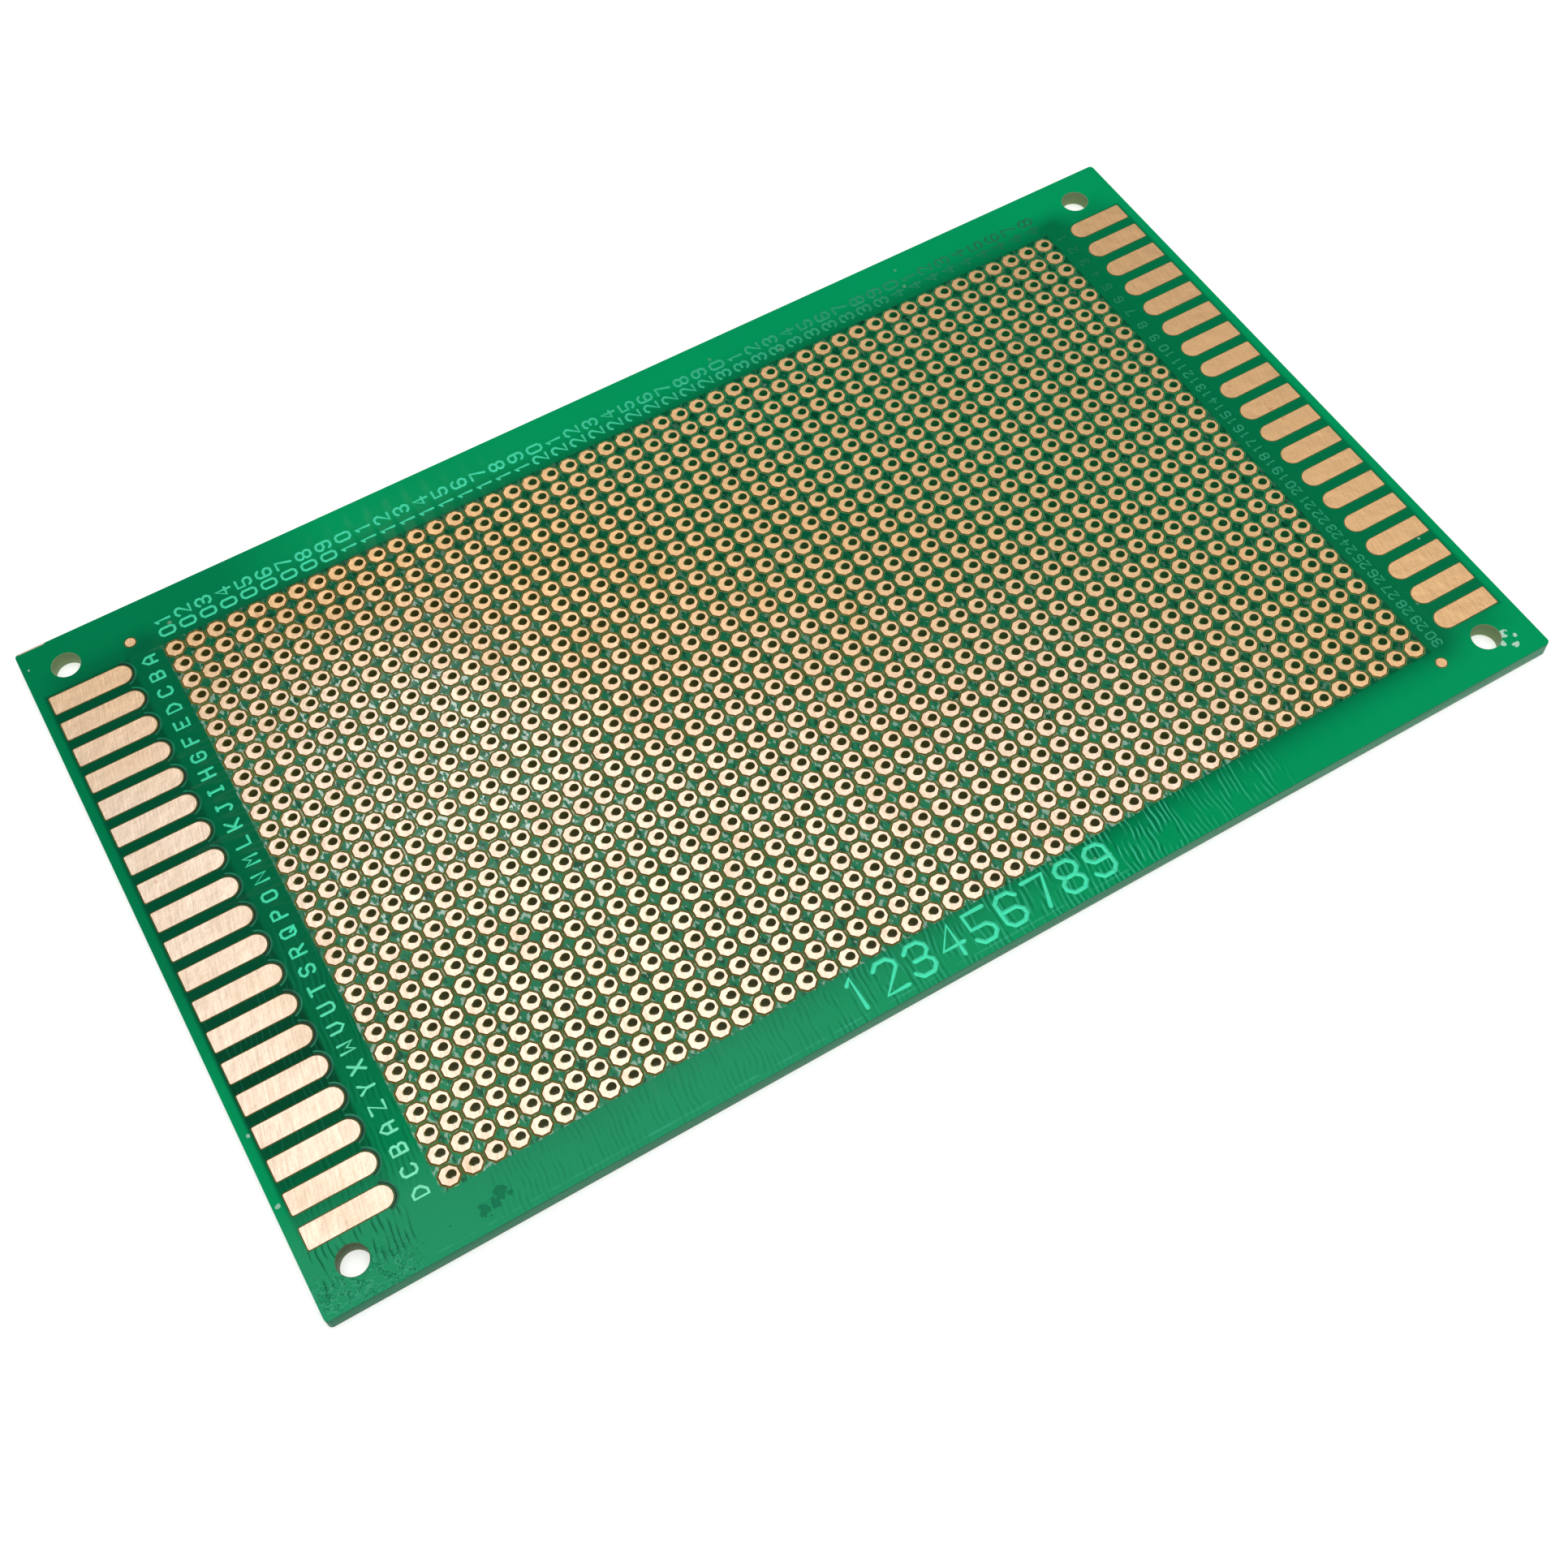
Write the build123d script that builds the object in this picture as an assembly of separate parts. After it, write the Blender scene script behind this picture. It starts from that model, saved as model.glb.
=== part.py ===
from build123d import *
import os

# Prototype circuit board, single-sided, with a drilled pad grid and a row of edge fingers at each end.
# Millimetres. X runs along the long side, Y along the short side and Z up out of the copper side.
# The origin is the centre of the bare underside.

# Laminate
board_length = 149.2
board_width = 89.6
board_thickness = 2.0
corner_radius = 0.5

# Copper and solder mask films on the top face
copper_thickness = 0.035
mask_thickness = 0.025
mask_clearance = 0.05

# Component grid: pads are octagons, drilled a little off their centres
pitch = 2.54
pad_gap = 0.34
hole_diameter = 1.0
drill_shift_x = 0.28
drill_shift_y = 0.05
number_strip = 7.67
mark_strip = 5.8

# Edge fingers: square at the board's edge, round towards the grid
finger_pitch = 4.0
finger_gap = 1.3
left_finger_length = 9.6
right_finger_length = 7.85
left_finger_margin = 1.38
right_finger_margin = 1.27
finger_top_margin = 7.65
finger_bottom_margin = 7.1
letter_strip = 4.33
row_number_strip = 3.0

# Mounting holes, from the edges of the board
mount_hole_diameter = 3.3
mount_mask_clearance = 0.08
mount_inset_left = 4.75
mount_inset_right = 5.55
mount_inset_top = 4.3
mount_inset_bottom = 4.3

# Datum dots, from the nearest corner position of the grid
dot_diameter = 1.35
upper_dot_reach_x = 4.18
upper_dot_reach_y = 3.52
lower_dot_reach_x = 1.41
lower_dot_reach_y = 3.02

# How many columns and rows of the grid are built here, spread from its first to its last.
# Built in full, the 1,440 drilled positions would take about 600,000 facets.
built_columns = 4
built_rows = 3

# Edges of the board
left_edge = -board_length / 2
right_edge = board_length / 2
top_edge = board_width / 2
bottom_edge = -board_width / 2

# Sizes that follow from the pitches
pad_size = pitch - pad_gap
finger_width = finger_pitch - finger_gap

# Round ends of the fingers, and the grid between them
left_finger_tip = left_edge + left_finger_margin + left_finger_length
right_finger_tip = right_edge - right_finger_margin - right_finger_length
first_column_x = left_finger_tip + letter_strip + pad_size / 2
first_row_y = top_edge - number_strip - pad_size / 2
last_room_x = right_finger_tip - row_number_strip - pad_size / 2
last_room_y = bottom_edge + mark_strip + pad_size / 2
column_count = 1 + int((last_room_x - first_column_x) / pitch)
row_count = 1 + int((first_row_y - last_room_y) / pitch)
last_column_x = first_column_x + (column_count - 1) * pitch
last_row_y = first_row_y - (row_count - 1) * pitch

# Fingers down each end
first_finger_y = top_edge - finger_top_margin - finger_width / 2
last_finger_room_y = bottom_edge + finger_bottom_margin + finger_width / 2
finger_count = 1 + int((first_finger_y - last_finger_room_y) / finger_pitch)
finger_ys = [first_finger_y - index * finger_pitch for index in range(finger_count)]


def spread(total, built):
    """Indices of the built positions, evenly spread from the first to the last."""
    if built >= total:
        return list(range(total))
    return [round(step * (total - 1) / (built - 1)) for step in range(built)]


def column_x(column):
    return first_column_x + column * pitch


def row_y(row):
    return first_row_y - row * pitch


def grid_points():
    """Pad centres of every built position."""
    columns = spread(column_count, built_columns)
    rows = spread(row_count, built_rows)
    return [(column_x(column), row_y(row)) for row in rows for column in columns]


def drill_point(x, y):
    """Centre of the hole drilled for the pad at x, y."""
    return x + drill_shift_x, y + drill_shift_y


def mount_points():
    """Centres of the four mounting holes."""
    xs = (left_edge + mount_inset_left, right_edge - mount_inset_right)
    ys = (bottom_edge + mount_inset_bottom, top_edge - mount_inset_top)
    return [(x, y) for x in xs for y in ys]


def dot_points():
    """Centres of the upper left and the lower right datum dot."""
    upper = (first_column_x - upper_dot_reach_x, first_row_y + upper_dot_reach_y)
    lower = (last_column_x + lower_dot_reach_x, last_row_y - lower_dot_reach_y)
    return [upper, lower]


def board_outline():
    return RectangleRounded(board_length, board_width, corner_radius)


def octagon(across_flats):
    """An octagon with its flats along X and Y."""
    return RegularPolygon(across_flats / 2, 8, major_radius=False, rotation=22.5)


def disc(x, y, diameter):
    return Pos(x, y) * Circle(diameter / 2)


def finger_outline(tip_x, outer_x, y, grown):
    """A strip from its square outer end to its round tip, grown all round by a clearance."""
    reach = 1 if outer_x > tip_x else -1
    radius = finger_width / 2 + grown
    round_x = tip_x + reach * finger_width / 2
    square_x = outer_x + reach * grown
    strip = Pos((round_x + square_x) / 2, y) * Rectangle(abs(square_x - round_x), 2 * radius)
    return strip + Pos(round_x, y) * Circle(radius)


def left_finger_outline(y, grown=0):
    return finger_outline(left_finger_tip, left_edge + left_finger_margin, y, grown)


def right_finger_outline(y, grown=0):
    return finger_outline(right_finger_tip, right_edge - right_finger_margin, y, grown)


def film(outline, thickness):
    """A film of one thickness that lies on the top face of the laminate."""
    return Pos(0, 0, board_thickness) * extrude(outline, thickness)


def laminate():
    """The drilled sheet that carries everything."""
    holes = [disc(*drill_point(x, y), hole_diameter) for x, y in grid_points()]
    holes += [disc(x, y, mount_hole_diameter) for x, y in mount_points()]
    return extrude(board_outline() - holes, board_thickness)


def solder_mask():
    """The green film, open over every built pad, finger, dot and mounting hole."""
    opening = octagon(pad_size + 2 * mask_clearance)
    openings = [Pos(x, y) * opening for x, y in grid_points()]
    openings += [left_finger_outline(y, mask_clearance) for y in finger_ys]
    openings += [right_finger_outline(y, mask_clearance) for y in finger_ys]
    openings += [disc(x, y, dot_diameter + 2 * mask_clearance) for x, y in dot_points()]
    openings += [disc(x, y, mount_hole_diameter + 2 * mount_mask_clearance) for x, y in mount_points()]
    return film(board_outline() - openings, mask_thickness)


def pad(x, y):
    """One octagonal copper pad with its off-centre hole."""
    outline = Pos(x, y) * octagon(pad_size) - disc(*drill_point(x, y), hole_diameter)
    return film(outline, copper_thickness)


def pad_row(row):
    """The built pads of one row, as separate solids."""
    columns = spread(column_count, built_columns)
    return Compound([pad(column_x(column), row_y(row)).solid() for column in columns])


def write(name, shape):
    export_step(shape, os.path.join("parts", name + ".step"))


def main():
    os.makedirs("parts", exist_ok=True)
    write("laminate", laminate())
    write("solder_mask", solder_mask())
    for row in spread(row_count, built_rows):
        write(f"pad_row_{row + 1:02d}", pad_row(row))
    for index, y in enumerate(finger_ys):
        write(f"left_finger_{index + 1:02d}", film(left_finger_outline(y), copper_thickness))
        write(f"right_finger_{index + 1:02d}", film(right_finger_outline(y), copper_thickness))
    for name, point in zip(("upper_dot", "lower_dot"), dot_points()):
        write(name, film(disc(*point, dot_diameter), copper_thickness))


main()
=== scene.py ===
"""Prototype circuit board: drilled laminate, green mask, copper pads and fingers, and legend."""

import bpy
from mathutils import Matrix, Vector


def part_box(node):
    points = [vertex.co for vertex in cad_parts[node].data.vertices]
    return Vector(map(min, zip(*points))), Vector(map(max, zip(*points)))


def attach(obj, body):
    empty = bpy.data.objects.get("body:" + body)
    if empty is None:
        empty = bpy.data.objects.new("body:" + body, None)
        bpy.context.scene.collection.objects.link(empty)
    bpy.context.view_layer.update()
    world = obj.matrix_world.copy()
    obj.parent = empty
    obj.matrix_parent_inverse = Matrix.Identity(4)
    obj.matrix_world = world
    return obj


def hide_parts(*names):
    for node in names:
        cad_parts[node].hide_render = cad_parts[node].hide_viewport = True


bl_info = {
    "name": "Prototype Circuit Board",
    "version": (1, 0, 0),
    "blender": (4, 5, 0),
    "location": "3D View > Sidebar > Circuit Board",
    "description": "Models a drilled prototype circuit board and its finishes around a packed frame",
    "category": "Object",
}

import math

import bmesh
import bpy
from bpy.props import FloatProperty, FloatVectorProperty, IntProperty, PointerProperty, StringProperty
from mathutils import Vector

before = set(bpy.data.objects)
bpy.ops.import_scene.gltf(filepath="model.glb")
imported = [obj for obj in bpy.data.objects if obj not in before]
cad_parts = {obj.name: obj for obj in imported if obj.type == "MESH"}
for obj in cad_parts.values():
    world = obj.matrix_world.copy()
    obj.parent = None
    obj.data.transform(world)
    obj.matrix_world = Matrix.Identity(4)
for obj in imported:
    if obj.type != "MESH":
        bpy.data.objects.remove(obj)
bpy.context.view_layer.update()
MM = 0.001

# The board and its films, as the frame has them
SHEET_LOW, SHEET_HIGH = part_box("laminate")
FILM_LOW, FILM_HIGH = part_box("solder_mask")
SHEET_TOP = SHEET_HIGH.z
SHEET_THICKNESS = SHEET_HIGH.z - SHEET_LOW.z
FILM_TOP = FILM_HIGH.z
FILM_THICKNESS = FILM_TOP - SHEET_TOP

# The component grid, from its first and last row of pads
ROWS = 30
COLUMNS = 48
FIRST_ROW_LOW, FIRST_ROW_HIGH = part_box("pad_row_01")
LAST_ROW_LOW, LAST_ROW_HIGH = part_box("pad_row_30")
FRAME_PAD_ROWS = (1, 15, 30)
PAD_SIZE = FIRST_ROW_HIGH.y - FIRST_ROW_LOW.y
COPPER_TOP = FIRST_ROW_HIGH.z
COPPER_THICKNESS = COPPER_TOP - SHEET_TOP
PITCH = (FIRST_ROW_LOW.y - LAST_ROW_LOW.y) / (ROWS - 1)
FIRST_X = FIRST_ROW_LOW.x + PAD_SIZE / 2
FIRST_Y = FIRST_ROW_LOW.y + PAD_SIZE / 2
LAST_X = FIRST_X + (COLUMNS - 1) * PITCH
LAST_Y = FIRST_Y - (ROWS - 1) * PITCH
GRID_LEFT = FIRST_X - PITCH / 2
GRID_RIGHT = LAST_X + PITCH / 2
GRID_TOP = FIRST_Y + PITCH / 2
GRID_BOTTOM = LAST_Y - PITCH / 2

# Edge fingers
FINGERS = 19
LEFT_FINGERS = [f"left_finger_{index + 1:02d}" for index in range(FINGERS)]
RIGHT_FINGERS = [f"right_finger_{index + 1:02d}" for index in range(FINGERS)]
DOTS = ("upper_dot", "lower_dot")

# Mounting holes: their rectangle and its centre
MOUNT_SPAN_X = 138.9 * MM
MOUNT_SPAN_Y = 81.0 * MM
MOUNT_CENTRE_X = -0.4 * MM

NUDGE = 0.005 * MM

# Strokes of the etched characters on a grid 4 wide and 6 high.
# Each stroke is a run of points, each point its place across and its height.
STROKES = {
    "0": ["10 30 41 45 36 16 05 01 10"],
    "1": ["15 26 20"],
    "2": ["05 16 36 45 44 00 40"],
    "3": ["05 16 36 45 44 33 42 41 30 10 01", "33 13"],
    "4": ["30 36 02 42"],
    "5": ["46 06 03 33 42 41 30 10 01"],
    "6": ["45 36 16 05 01 10 30 41 42 33 03"],
    "7": ["06 46 20"],
    "8": ["13 04 05 16 36 45 44 33 13", "13 02 01 10 30 41 42 33"],
    "9": ["01 10 30 41 45 36 16 05 04 13 43"],
    "A": ["00 04 26 44 40", "02 42"],
    "B": ["00 06 36 45 44 33 03", "33 42 41 30 00"],
    "C": ["45 36 16 05 01 10 30 41"],
    "D": ["00 06 26 44 42 20 00"],
    "E": ["46 06 00 40", "03 33"],
    "F": ["46 06 00", "03 33"],
    "G": ["45 36 16 05 01 10 30 41 43 23"],
    "H": ["00 06", "40 46", "03 43"],
    "I": ["16 36", "26 20", "10 30"],
    "J": ["26 46", "36 31 20 10 01"],
    "K": ["00 06", "46 02", "13 40"],
    "L": ["06 00 40"],
    "M": ["00 06 23 46 40"],
    "N": ["00 06 40 46"],
    "O": ["10 30 41 45 36 16 05 01 10"],
    "P": ["00 06 36 45 44 33 03"],
    "Q": ["10 30 41 45 36 16 05 01 10", "22 40"],
    "R": ["00 06 36 45 44 33 03", "23 40"],
    "S": ["45 36 16 05 04 13 33 42 41 30 10 01"],
    "T": ["06 46", "26 20"],
    "U": ["06 01 10 30 41 46"],
    "V": ["06 02 20 42 46"],
    "W": ["06 00 23 40 46"],
    "X": ["00 46", "06 40"],
    "Y": ["06 23 46", "23 20"],
    "Z": ["06 46 00 40"],
    "*": ["03 43", "21 25", "05 41", "01 45"],
}
GLYPH_WIDE = 4
GLYPH_HIGH = 6

# Wrinkled places of the film in millimetres: centre x and y, half sizes, soft border, strength
WRINKLED = (
    (21.0, -41.4, 5.0, 2.3, 2.0, 0.9),
    (31.0, -41.0, 6.0, 1.8, 3.0, 0.5),
    (1.0, -41.6, 18.0, 2.6, 3.0, 0.6),
    (-35.0, -41.8, 18.0, 1.6, 5.0, 0.3),
    (-61.5, -20.0, 1.8, 15.0, 2.0, 0.5),
    (-68.5, -39.8, 4.5, 2.0, 1.0, 0.9),
    (-68.0, -22.0, 4.5, 13.0, 1.0, 0.45),
)

# Small marks on the film in millimetres: x, y and radius. The pale spot at 71.5, -25.8 is a painted glint, the others
# are pale marks; the dark ones are small dark spots.
PALE_MARKS_AND_GLINT = ((-74.0, -31.8, 0.28), (71.5, -25.8, 0.16), (-73.8, 42.0, 0.14), (-73.7, -23.5, 0.2))
DARK_SPOTS = ((-63.3, -42.5, 0.09), (-60.3, -42.3, 0.09))


class BoardSizes(bpy.types.PropertyGroup):
    """Sizes of the drilled board that the frame doesn't give."""

    hole_segments: IntProperty(
        name="Hole Segments", description="Sides of each drilled hole", default=16, min=8, max=32
    )
    hole_diameter: FloatProperty(
        name="Hole Diameter", description="Component hole", default=1.0 * MM, unit="LENGTH", precision=5
    )
    drill_shift_x: FloatProperty(
        name="Drill Shift X", description="How far the holes sit off the pads", default=0.28 * MM, unit="LENGTH"
    )
    drill_shift_y: FloatProperty(
        name="Drill Shift Y", description="How far the holes sit off the pads", default=0.05 * MM, unit="LENGTH"
    )
    mask_clearance: FloatProperty(
        name="Mask Clearance", description="Bare gap round the copper", default=0.055 * MM, unit="LENGTH"
    )
    pad_clearance: FloatProperty(
        name="Pad Clearance", description="Bare ring round each pad", default=0.13 * MM, unit="LENGTH"
    )
    notch: FloatProperty(
        name="Notch", description="How far the copper is torn on the left of a hole", default=0.15 * MM, unit="LENGTH"
    )
    mount_diameter: FloatProperty(
        name="Mounting Hole", description="Diameter of the corner holes", default=3.3 * MM, unit="LENGTH"
    )
    mount_clearance: FloatProperty(
        name="Mounting Clearance", description="Bare ring round a corner hole", default=0.08 * MM, unit="LENGTH"
    )
    corner_radius: FloatProperty(
        name="Corner Radius", description="Corners of the board", default=0.5 * MM, unit="LENGTH"
    )
    copper_edge: FloatProperty(
        name="Copper Edge", description="Width of the etched slope round the copper", default=0.105 * MM, unit="LENGTH"
    )
    finger_edge: FloatProperty(
        name="Finger Edge", description="Width of the etched slope round a finger", default=0.07 * MM, unit="LENGTH"
    )
    meniscus: FloatProperty(
        name="Meniscus", description="Width of the raised mask edge beside a pad", default=0.13 * MM, unit="LENGTH"
    )
    dish: FloatProperty(
        name="Dish", description="How far the mask sinks between four pads", default=0.02 * MM, unit="LENGTH"
    )


class BoardColours(bpy.types.PropertyGroup):
    """Colours of the board's finishes, linear."""

    # Clean copper; also the colour of the painted highlight towards the near left corner and in the glare.
    copper: FloatVectorProperty(
        name="Copper", description="Clean etched copper", subtype="COLOR", default=(0.94, 0.76, 0.60), min=0, max=1
    )
    # Tarnished copper; also the colour of all copper outside the painted highlight.
    tarnish_outside_painted_highlight: FloatVectorProperty(
        name="Tarnish", description="Copper that has dulled", subtype="COLOR", default=(0.89, 0.55, 0.27), min=0, max=1
    )
    mask: FloatVectorProperty(
        name="Mask", description="Green film over bare laminate", subtype="COLOR", default=(0.0005, 0.375, 0.130), min=0, max=1
    )
    shaded_mask: FloatVectorProperty(
        name="Shaded Mask", description="Green film close to copper", subtype="COLOR", default=(0.001, 0.115, 0.044), min=0, max=1
    )
    legend: FloatVectorProperty(
        name="Legend", description="Green film over etched strokes", subtype="COLOR", default=(0.055, 0.70, 0.40), min=0, max=1
    )
    laminate: FloatVectorProperty(
        name="Laminate", description="Bare glass epoxy", subtype="COLOR", default=(0.22, 0.21, 0.035), min=0, max=1
    )
    edge: FloatVectorProperty(
        name="Sheared Edge", description="Cut edge of the laminate", subtype="COLOR", default=(0.10, 0.34, 0.20), min=0, max=1
    )
    floor: FloatVectorProperty(
        name="Floor", description="Plain floor", subtype="COLOR", default=(0.95, 0.95, 0.94), min=0, max=1
    )


def select_only(*pieces):
    """Leaves object mode open with these pieces selected and the first one active."""
    if bpy.context.mode != "OBJECT":
        bpy.ops.object.mode_set(mode="OBJECT")
    bpy.ops.object.select_all(action="DESELECT")
    for piece in pieces:
        piece.select_set(True)
    bpy.context.view_layer.objects.active = pieces[0]


def primitive(add, **shape):
    """Adds a primitive with nothing else selected, and opens it for editing."""
    bpy.ops.object.select_all(action="DESELECT")
    add(**shape)
    bpy.ops.object.mode_set(mode="EDIT")
    bpy.ops.mesh.select_all(action="SELECT")
    return bpy.context.object


def pick(piece, kind, test):
    """Selects in edit mode only the vertices, edges or faces that pass the test."""
    bpy.ops.mesh.select_mode(type=kind)
    bpy.ops.mesh.select_all(action="DESELECT")
    mesh = bmesh.from_edit_mesh(piece.data)
    parts = {"VERT": mesh.verts, "EDGE": mesh.edges, "FACE": mesh.faces}[kind]
    for part in parts:
        if test(part):
            part.select_set(True)
    mesh.select_flush_mode()
    bmesh.update_edit_mesh(piece.data)


def cut(place, normal, **clear):
    """Bisects the selected faces by a plane."""
    bpy.ops.mesh.bisect(plane_co=place, plane_no=normal, use_fill=False, threshold=1e-7, **clear)


def leave_edit(piece):
    """Closes edit mode and puts the piece's place into its mesh."""
    bpy.ops.object.mode_set(mode="OBJECT")
    select_only(piece)
    bpy.ops.object.transform_apply(location=True, rotation=True, scale=True)


def face_up(piece):
    """Turns a flat sheet so that its faces look up."""
    bpy.ops.mesh.select_all(action="SELECT")
    mesh = bmesh.from_edit_mesh(piece.data)
    bpy.ops.mesh.normals_make_consistent(inside=False)
    mesh = bmesh.from_edit_mesh(piece.data)
    mesh.faces.ensure_lookup_table()
    if mesh.faces[0].normal.z < 0:
        bpy.ops.mesh.flip_normals()


def modify(piece, kind, **settings):
    """Adds a modifier and applies it."""
    select_only(piece)
    modifier = piece.modifiers.new(kind.title(), kind)
    for name, value in settings.items():
        setattr(modifier, name, value)
    bpy.ops.object.modifier_apply(modifier=modifier.name)


def repeat(piece, count, step):
    """Copies the piece along a line, and merges the copies where they meet."""
    modify(
        piece,
        "ARRAY",
        count=count,
        use_relative_offset=False,
        use_constant_offset=True,
        constant_offset_displace=step,
        use_merge_vertices=True,
        merge_threshold=1e-6,
    )


def thicken(piece, thickness, upwards):
    """Gives a flat sheet its thickness, on one side."""
    modify(piece, "SOLIDIFY", thickness=thickness, offset=1.0 if upwards else -1.0, use_even_offset=False)


def subtract(piece, cutter):
    """Cuts the cutter's shape out of the piece and deletes the cutter."""
    modify(piece, "BOOLEAN", operation="DIFFERENCE", solver="EXACT", object=cutter)
    bpy.data.meshes.remove(cutter.data)


def copy_of(piece, move):
    """A copy with its own mesh, moved."""
    select_only(piece)
    bpy.ops.object.duplicate(linked=False)
    made = bpy.context.object
    bpy.ops.transform.translate(value=move)
    bpy.ops.object.transform_apply(location=True, rotation=True, scale=True)
    return made


def join(pieces):
    """One object out of several."""
    select_only(*pieces)
    bpy.ops.object.join()
    return bpy.context.object


def hand_over(piece, name, material, slot, replaced=()):
    """Names and finishes a piece, and gives it to the frame."""
    select_only(piece)
    sharpest = 8 if slot == "copper" else 25
    bpy.ops.object.shade_smooth_by_angle(angle=math.radians(sharpest))
    piece.name = name
    piece.data.name = name
    if not piece.data.materials:
        piece.data.materials.append(material)
    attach(piece, "root")
    if replaced:
        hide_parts(*replaced)
    return piece


def drill_point(x, y):
    """Where the hole of the pad at x, y is drilled."""
    sizes = bpy.context.scene.board_sizes
    return x + sizes.drill_shift_x, y + sizes.drill_shift_y


def mount_points():
    """Centres of the mounting holes."""
    xs = (MOUNT_CENTRE_X - MOUNT_SPAN_X / 2, MOUNT_CENTRE_X + MOUNT_SPAN_X / 2)
    ys = (-MOUNT_SPAN_Y / 2, MOUNT_SPAN_Y / 2)
    return [(x, y) for x in xs for y in ys]


def add_border(piece):
    """Extrudes the rim of the grid out to the edges of the board and rounds the corners."""
    select_only(piece)
    bpy.ops.object.mode_set(mode="EDIT")
    reaches = (
        (0, -1, GRID_LEFT, SHEET_LOW.x),
        (0, 1, GRID_RIGHT, SHEET_HIGH.x),
        (1, -1, GRID_BOTTOM, SHEET_LOW.y),
        (1, 1, GRID_TOP, SHEET_HIGH.y),
    )
    for axis, side, rim, edge in reaches:
        pick(
            piece,
            "EDGE",
            lambda part: part.is_boundary and all(abs(end.co[axis] - rim) < NUDGE for end in part.verts),
        )
        move = Vector((0, 0, 0))
        move[axis] = edge - rim
        bpy.ops.mesh.extrude_edges_move(TRANSFORM_OT_translate={"value": move})
    pick(piece, "VERT", is_board_corner)
    bpy.ops.mesh.bevel(
        offset=bpy.context.scene.board_sizes.corner_radius, segments=5, affect="VERTICES"
    )
    face_up(piece)
    leave_edit(piece)


def is_board_corner(vertex):
    return (
        min(abs(vertex.co.x - SHEET_LOW.x), abs(vertex.co.x - SHEET_HIGH.x)) < NUDGE
        and min(abs(vertex.co.y - SHEET_LOW.y), abs(vertex.co.y - SHEET_HIGH.y)) < NUDGE
    )


def on_board_edge(edge, inset):
    """True if both ends of an edge lie on the outline of the board."""
    return all(
        abs(end.co.x) > SHEET_HIGH.x - inset or abs(end.co.y) > SHEET_HIGH.y - inset for end in edge.verts
    )


def ring_cutter(points, diameter, low, high):
    """Cylinders through the board at these points, as one cutter."""
    cutters = []
    for x, y in points:
        bpy.ops.object.select_all(action="DESELECT")
        bpy.ops.mesh.primitive_cylinder_add(
            vertices=48, radius=diameter / 2, depth=high - low, location=(x, y, (high + low) / 2)
        )
        cutter = bpy.context.object
        bpy.ops.object.transform_apply(location=True, rotation=True, scale=True)
        cutters.append(cutter)
    return join(cutters)


def model_laminate():
    """The drilled sheet: one drilled cell, repeated, with the border round it."""
    sizes = bpy.context.scene.board_sizes
    segments = sizes.hole_segments
    cell = primitive(
        bpy.ops.mesh.primitive_circle_add,
        vertices=4,
        radius=PITCH / math.sqrt(2),
        location=(FIRST_X, FIRST_Y, SHEET_TOP),
        rotation=(0, 0, math.radians(45)),
    )
    bpy.ops.mesh.subdivide(number_cuts=segments // 4 - 1)
    x, y = drill_point(FIRST_X, FIRST_Y)
    bpy.ops.mesh.primitive_circle_add(
        vertices=segments, radius=sizes.hole_diameter / 2, location=(x, y, SHEET_TOP)
    )
    bpy.ops.mesh.select_all(action="SELECT")
    bpy.ops.mesh.bridge_edge_loops()
    face_up(cell)
    leave_edit(cell)
    repeat(cell, COLUMNS, (PITCH, 0, 0))
    repeat(cell, ROWS, (0, -PITCH, 0))
    add_border(cell)
    thicken(cell, SHEET_THICKNESS, upwards=False)
    cutter = ring_cutter(mount_points(), sizes.mount_diameter, SHEET_LOW.z - MM, SHEET_TOP + MM)
    subtract(cell, cutter)
    soften_sheet_edges(cell)
    return cell


def soften_sheet_edges(piece):
    """Breaks the sheared outline and the rims of the mounting holes."""
    sizes = bpy.context.scene.board_sizes
    centres = mount_points()
    radius = sizes.mount_diameter / 2

    def is_rim(edge):
        first, second = edge.verts
        if abs(first.co.z - second.co.z) > NUDGE:
            return False
        if on_board_edge(edge, 0.6 * sizes.corner_radius) and edge.calc_face_angle(0) > 1:
            return True
        return any(
            all(abs(math.hypot(end.co.x - x, end.co.y - y) - radius) < NUDGE for end in edge.verts)
            for x, y in centres
        )

    select_only(piece)
    bpy.ops.object.mode_set(mode="EDIT")
    pick(piece, "EDGE", is_rim)
    bpy.ops.mesh.bevel(offset=0.06 * MM, segments=2, affect="EDGES")
    leave_edit(piece)


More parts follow.
